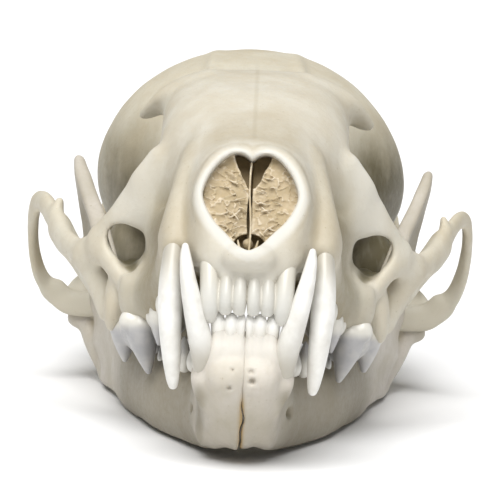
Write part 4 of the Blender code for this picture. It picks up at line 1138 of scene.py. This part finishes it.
def bone_colour(nodes, fine, streak, light, stain, dark):
    """Bone with blotches, streaks and pinholes, and painted shade in its hollows."""
    colour = nodes.mix(nodes.ramp(nodes.noise(0.16, 5, 0.6), 0.38, 0.68), light, stain)
    colour = nodes.mix(nodes.ramp(streak, 0.5, 0.72, 0.0, 0.4), colour, stain)
    colour = nodes.mix(nodes.ramp(nodes.noise(3.4, 2, 0.5), 0.70, 0.76, 0.0, 0.5), colour, dark)
    colour = nodes.mix(nodes.ramp(fine, 0.5, 0.75, 0.0, 0.35), colour, stain)
    # Painted shade in hollows.
    return nodes.mix(nodes.ramp(nodes.mark("hollow"), 0.53, 0.78), colour, dark)


def bone_finish(nodes, colour, fine):
    """Low gloss, pores and a little translucence."""
    pores = nodes.noise(9.0, 3, 0.6)
    height = nodes.math("ADD", fine, nodes.math("MULTIPLY", pores, 0.25))
    nodes.shader.inputs["Specular IOR Level"].default_value = 0.25
    return nodes.finish(colour, nodes.ramp(fine, 0.3, 0.7, 0.42, 0.56), height, 0.35, 0.12, 0.06)


def bone_grain(nodes):
    """The fine noise and the long streaks of both bones."""
    return nodes.noise(1.7, 5, 0.6), nodes.noise(0.5, 4, 0.6, (1.0, 0.35, 0.35))


def cranium_material():
    nodes = Nodes("cranium_bone")
    fine, streak = bone_grain(nodes)
    colour = bone_colour(nodes, fine, streak, BONE_LIGHT, BONE_STAIN, BONE_DARK)
    colour = tinted(nodes, colour, CRANIUM_TINTS)
    # Painted shade in broad hollows.
    colour = nodes.mix(nodes.ramp(nodes.mark("cave"), 0.52, 0.72), colour, CAVE_SHADE_TINT, "MULTIPLY")
    colour = nodes.mix(nodes.math("MULTIPLY", nodes.mark("suture"), 0.3), colour, BONE_DARK)
    # Olive stain and painted shade on the flanks, in streaks.
    patch = nodes.math("MULTIPLY", nodes.mark("flank"), nodes.ramp(streak, 0.34, 0.62, 0.68, 1.0))
    colour = nodes.mix(patch, colour, FLANK_STAIN_AND_SHADE)
    return bone_finish(nodes, tinted(nodes, colour, CRANIUM_HOLLOW_SHADE), fine)


def jaw_material():
    nodes = Nodes("jaw_bone")
    fine, streak = bone_grain(nodes)
    colour = bone_colour(nodes, fine, streak, JAW_LIGHT, JAW_STAIN, JAW_DARK)
    return bone_finish(nodes, tinted(nodes, colour, JAW_TINTS), fine)


def enamel_material(name, light, root):
    """Enamel that turns to the root's colour at the neck and in hollows; where the root's colour is
    darker, that is painted shade in the hollows.
    """
    nodes = Nodes(name)
    mottle = nodes.noise(0.5, 3)
    colour = nodes.mix(nodes.ramp(mottle, 0.4, 0.7, 0.0, 0.4), light, root)
    # In hollows: painted shade where the root's colour is darker than the enamel.
    colour = nodes.mix(nodes.ramp(nodes.mark("hollow"), 0.52, 0.72, 0.0, 0.8), colour, root)
    colour = nodes.mix(nodes.mark("neck"), colour, root)
    return nodes.finish(colour, nodes.ramp(mottle, 0.3, 0.7, 0.3, 0.38))


def scroll_material():
    """Dull tan bone, with painted shade: darker off its thin edges, browner in its hollows and deep in the
    nose.
    """
    nodes = Nodes("scroll_bone")
    fine = nodes.noise(2.2, 5, 0.65)
    blotch = nodes.noise(0.55, 3, 0.6)
    hollow = nodes.mark("hollow")
    # Painted shade: darker off the thin edges, darker still in the hollows, dark brown deep in the nose.
    colour = nodes.mix(nodes.ramp(hollow, 0.34, 0.5), SCROLL_LIGHT, SCROLL_STAIN_AND_SHADE)
    colour = nodes.mix(nodes.ramp(blotch, 0.40, 0.58, 0.0, 0.75), colour, SCROLL_BLOTCH)
    colour = nodes.mix(nodes.ramp(hollow, 0.52, 0.8), colour, SCROLL_HOLLOW_SHADE)
    colour = nodes.mix(nodes.ramp(fine, 0.45, 0.7, 0.0, 0.35), colour, SCROLL_GRAINS)
    colour = nodes.mix(nodes.mark("deep"), colour, SCROLL_DEEP_SHADE)
    return nodes.finish(colour, nodes.ramp(fine, 0.3, 0.7, 0.6, 0.75), fine, 0.4, 0.1, 0.08)


def floor_material():
    nodes = Nodes("floor")
    faint = nodes.noise(0.02, 2)
    colour = nodes.mix(nodes.ramp(faint, 0.3, 0.7, 0.0, 0.2), (0.88, 0.88, 0.88), (0.86, 0.86, 0.86))
    return nodes.finish(colour, nodes.ramp(faint, 0.3, 0.7, 0.8, 0.85))


def dress(piece, material, *nodes):
    """Gives a piece its material, its body and the CAD nodes that it replaces."""
    piece.data.materials.append(material)
    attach(piece, "root")
    if nodes:
        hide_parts(*nodes)


jaw_bone, scroll = jaw_material(), scroll_material()
canine_enamel = enamel_material("canine_enamel", (0.82, 0.81, 0.77), (0.50, 0.47, 0.40))
incisor_enamel = enamel_material("incisor_enamel", (0.59, 0.58, 0.535), (0.575, 0.55, 0.48))
# Painted light: the lower incisors' enamel is painted brighter than the rest, standing in for light the
# upper incisors shade off them.
painted_lit_enamel = enamel_material("painted_lit_enamel", (0.93, 0.92, 0.88), (0.78, 0.75, 0.68))
# Painted shade: the cheek teeth's enamel is painted dark grey, standing in for the shade they sit in.
shaded_cheek_enamel = enamel_material("shaded_cheek_enamel", (0.38, 0.375, 0.38), (0.66, 0.64, 0.58))

dress(model_cranium(), cranium_material(), "face", "braincase", "zygomatic_arch_left",
      "zygomatic_arch_right", "auditory_bulla_left", "auditory_bulla_right")
dress(model_mandible(1), jaw_bone, "mandible_left")
dress(model_mandible(-1), jaw_bone, "mandible_right")
# Rows of teeth: name, teeth, corners of their clay, heights of crown and root
dress(model_incisors("upper_incisors", UPPER_INCISORS, (0, -0.4, -5.6), (5.4, 6.6, 4.4), -2.2, 0.0),
      incisor_enamel)
dress(model_incisors("lower_incisors", LOWER_INCISORS, (0, 1.4, -10), (3.8, 6.4, -3.4), -4.8, -6.2),
      painted_lit_enamel)
for side, word in ((1, "left"), (-1, "right")):
    name = "upper_canine_" + word
    dress(model_canine(name, UPPER_CANINE, side, -2.4, 1.9), canine_enamel, name)
    name = "lower_canine_" + word
    dress(model_canine(name, LOWER_CANINE, side, -5.6, -9.2), canine_enamel, name)
    dress(model_turbinates(side), scroll, "turbinates_" + word)
dress(model_cheek_teeth("upper_cheek_teeth", UPPER_CUSPS, (4.6, 8.6, -9.6), (15.0, 33.6, 1.0), -5.2, -4.2),
      shaded_cheek_enamel)
dress(model_cheek_teeth("lower_cheek_teeth", LOWER_CUSPS, (3.4, 8.6, -11), (11.8, 35.4, -3.0), -6.5, -8.0),
      shaded_cheek_enamel)
dress(model_septum(), scroll, "nasal_septum")


# Studio
FLOOR_REACH = 60.0
WORLD_STRENGTH, SUN_STRENGTH, SUN_ANGLE, SUN_TURN = 0.25, 4.2, 50, (29, 0, -9)
CAMERA_FAR, CAMERA_LOW, CAMERA_ACROSS = 250.0, -17.68, 0.1
CAMERA_PITCH, CAMERA_ROLL, CAMERA_YAW = -4.5, 2.6, 0.1
CAMERA_LENS, CAMERA_SENSOR = 193.5, 36


def make_floor():
    corners = [(x * FLOOR_REACH, y * FLOOR_REACH, 0) for x, y in ((-1, -1), (1, -1), (1, 1), (-1, 1))]
    mesh = bpy.data.meshes.new("floor")
    mesh.from_pydata(corners, [], [(0, 1, 2, 3)])
    floor = bpy.data.objects.new("floor", mesh)
    bpy.context.scene.collection.objects.link(floor)
    floor.data.materials.append(floor_material())


def make_light():
    """A dim white world and one broad, soft light from above the camera."""
    world = bpy.data.worlds.new("studio")
    world.use_nodes = True
    world.node_tree.nodes["Background"].inputs["Color"].default_value = (1, 1, 1, 1)
    world.node_tree.nodes["Background"].inputs["Strength"].default_value = WORLD_STRENGTH
    bpy.context.scene.world = world
    lamp = bpy.data.lights.new("softbox", "SUN")
    lamp.energy = SUN_STRENGTH
    lamp.angle = math.radians(SUN_ANGLE)
    sun = bpy.data.objects.new("softbox", lamp)
    sun.rotation_euler = Euler([math.radians(angle) for angle in SUN_TURN])
    bpy.context.scene.collection.objects.link(sun)


def make_camera():
    """A camera before the nose, placed in the skull's frame."""
    camera = bpy.data.objects.new("camera", bpy.data.cameras.new("camera"))
    bpy.context.scene.collection.objects.link(camera)
    bpy.context.scene.camera = camera
    yaw, pitch, roll = (math.radians(a) for a in (CAMERA_YAW, 90 - CAMERA_PITCH, CAMERA_ROLL))
    place = Matrix.Translation(Vector((CAMERA_ACROSS, -CAMERA_FAR, CAMERA_LOW)) * MM)
    turn = Matrix.Rotation(pitch, 4, "X") @ Matrix.Rotation(roll, 4, "Z")
    camera.matrix_world = REST @ Matrix.Rotation(yaw, 4, "Z") @ place @ turn
    camera.data.sensor_width = CAMERA_SENSOR
    camera.data.lens = CAMERA_LENS
    camera.data.clip_start = 0.01
    camera.data.clip_end = 100


make_floor()
make_light()
make_camera()
bpy.context.scene.view_settings.view_transform = "Standard"
write_size()
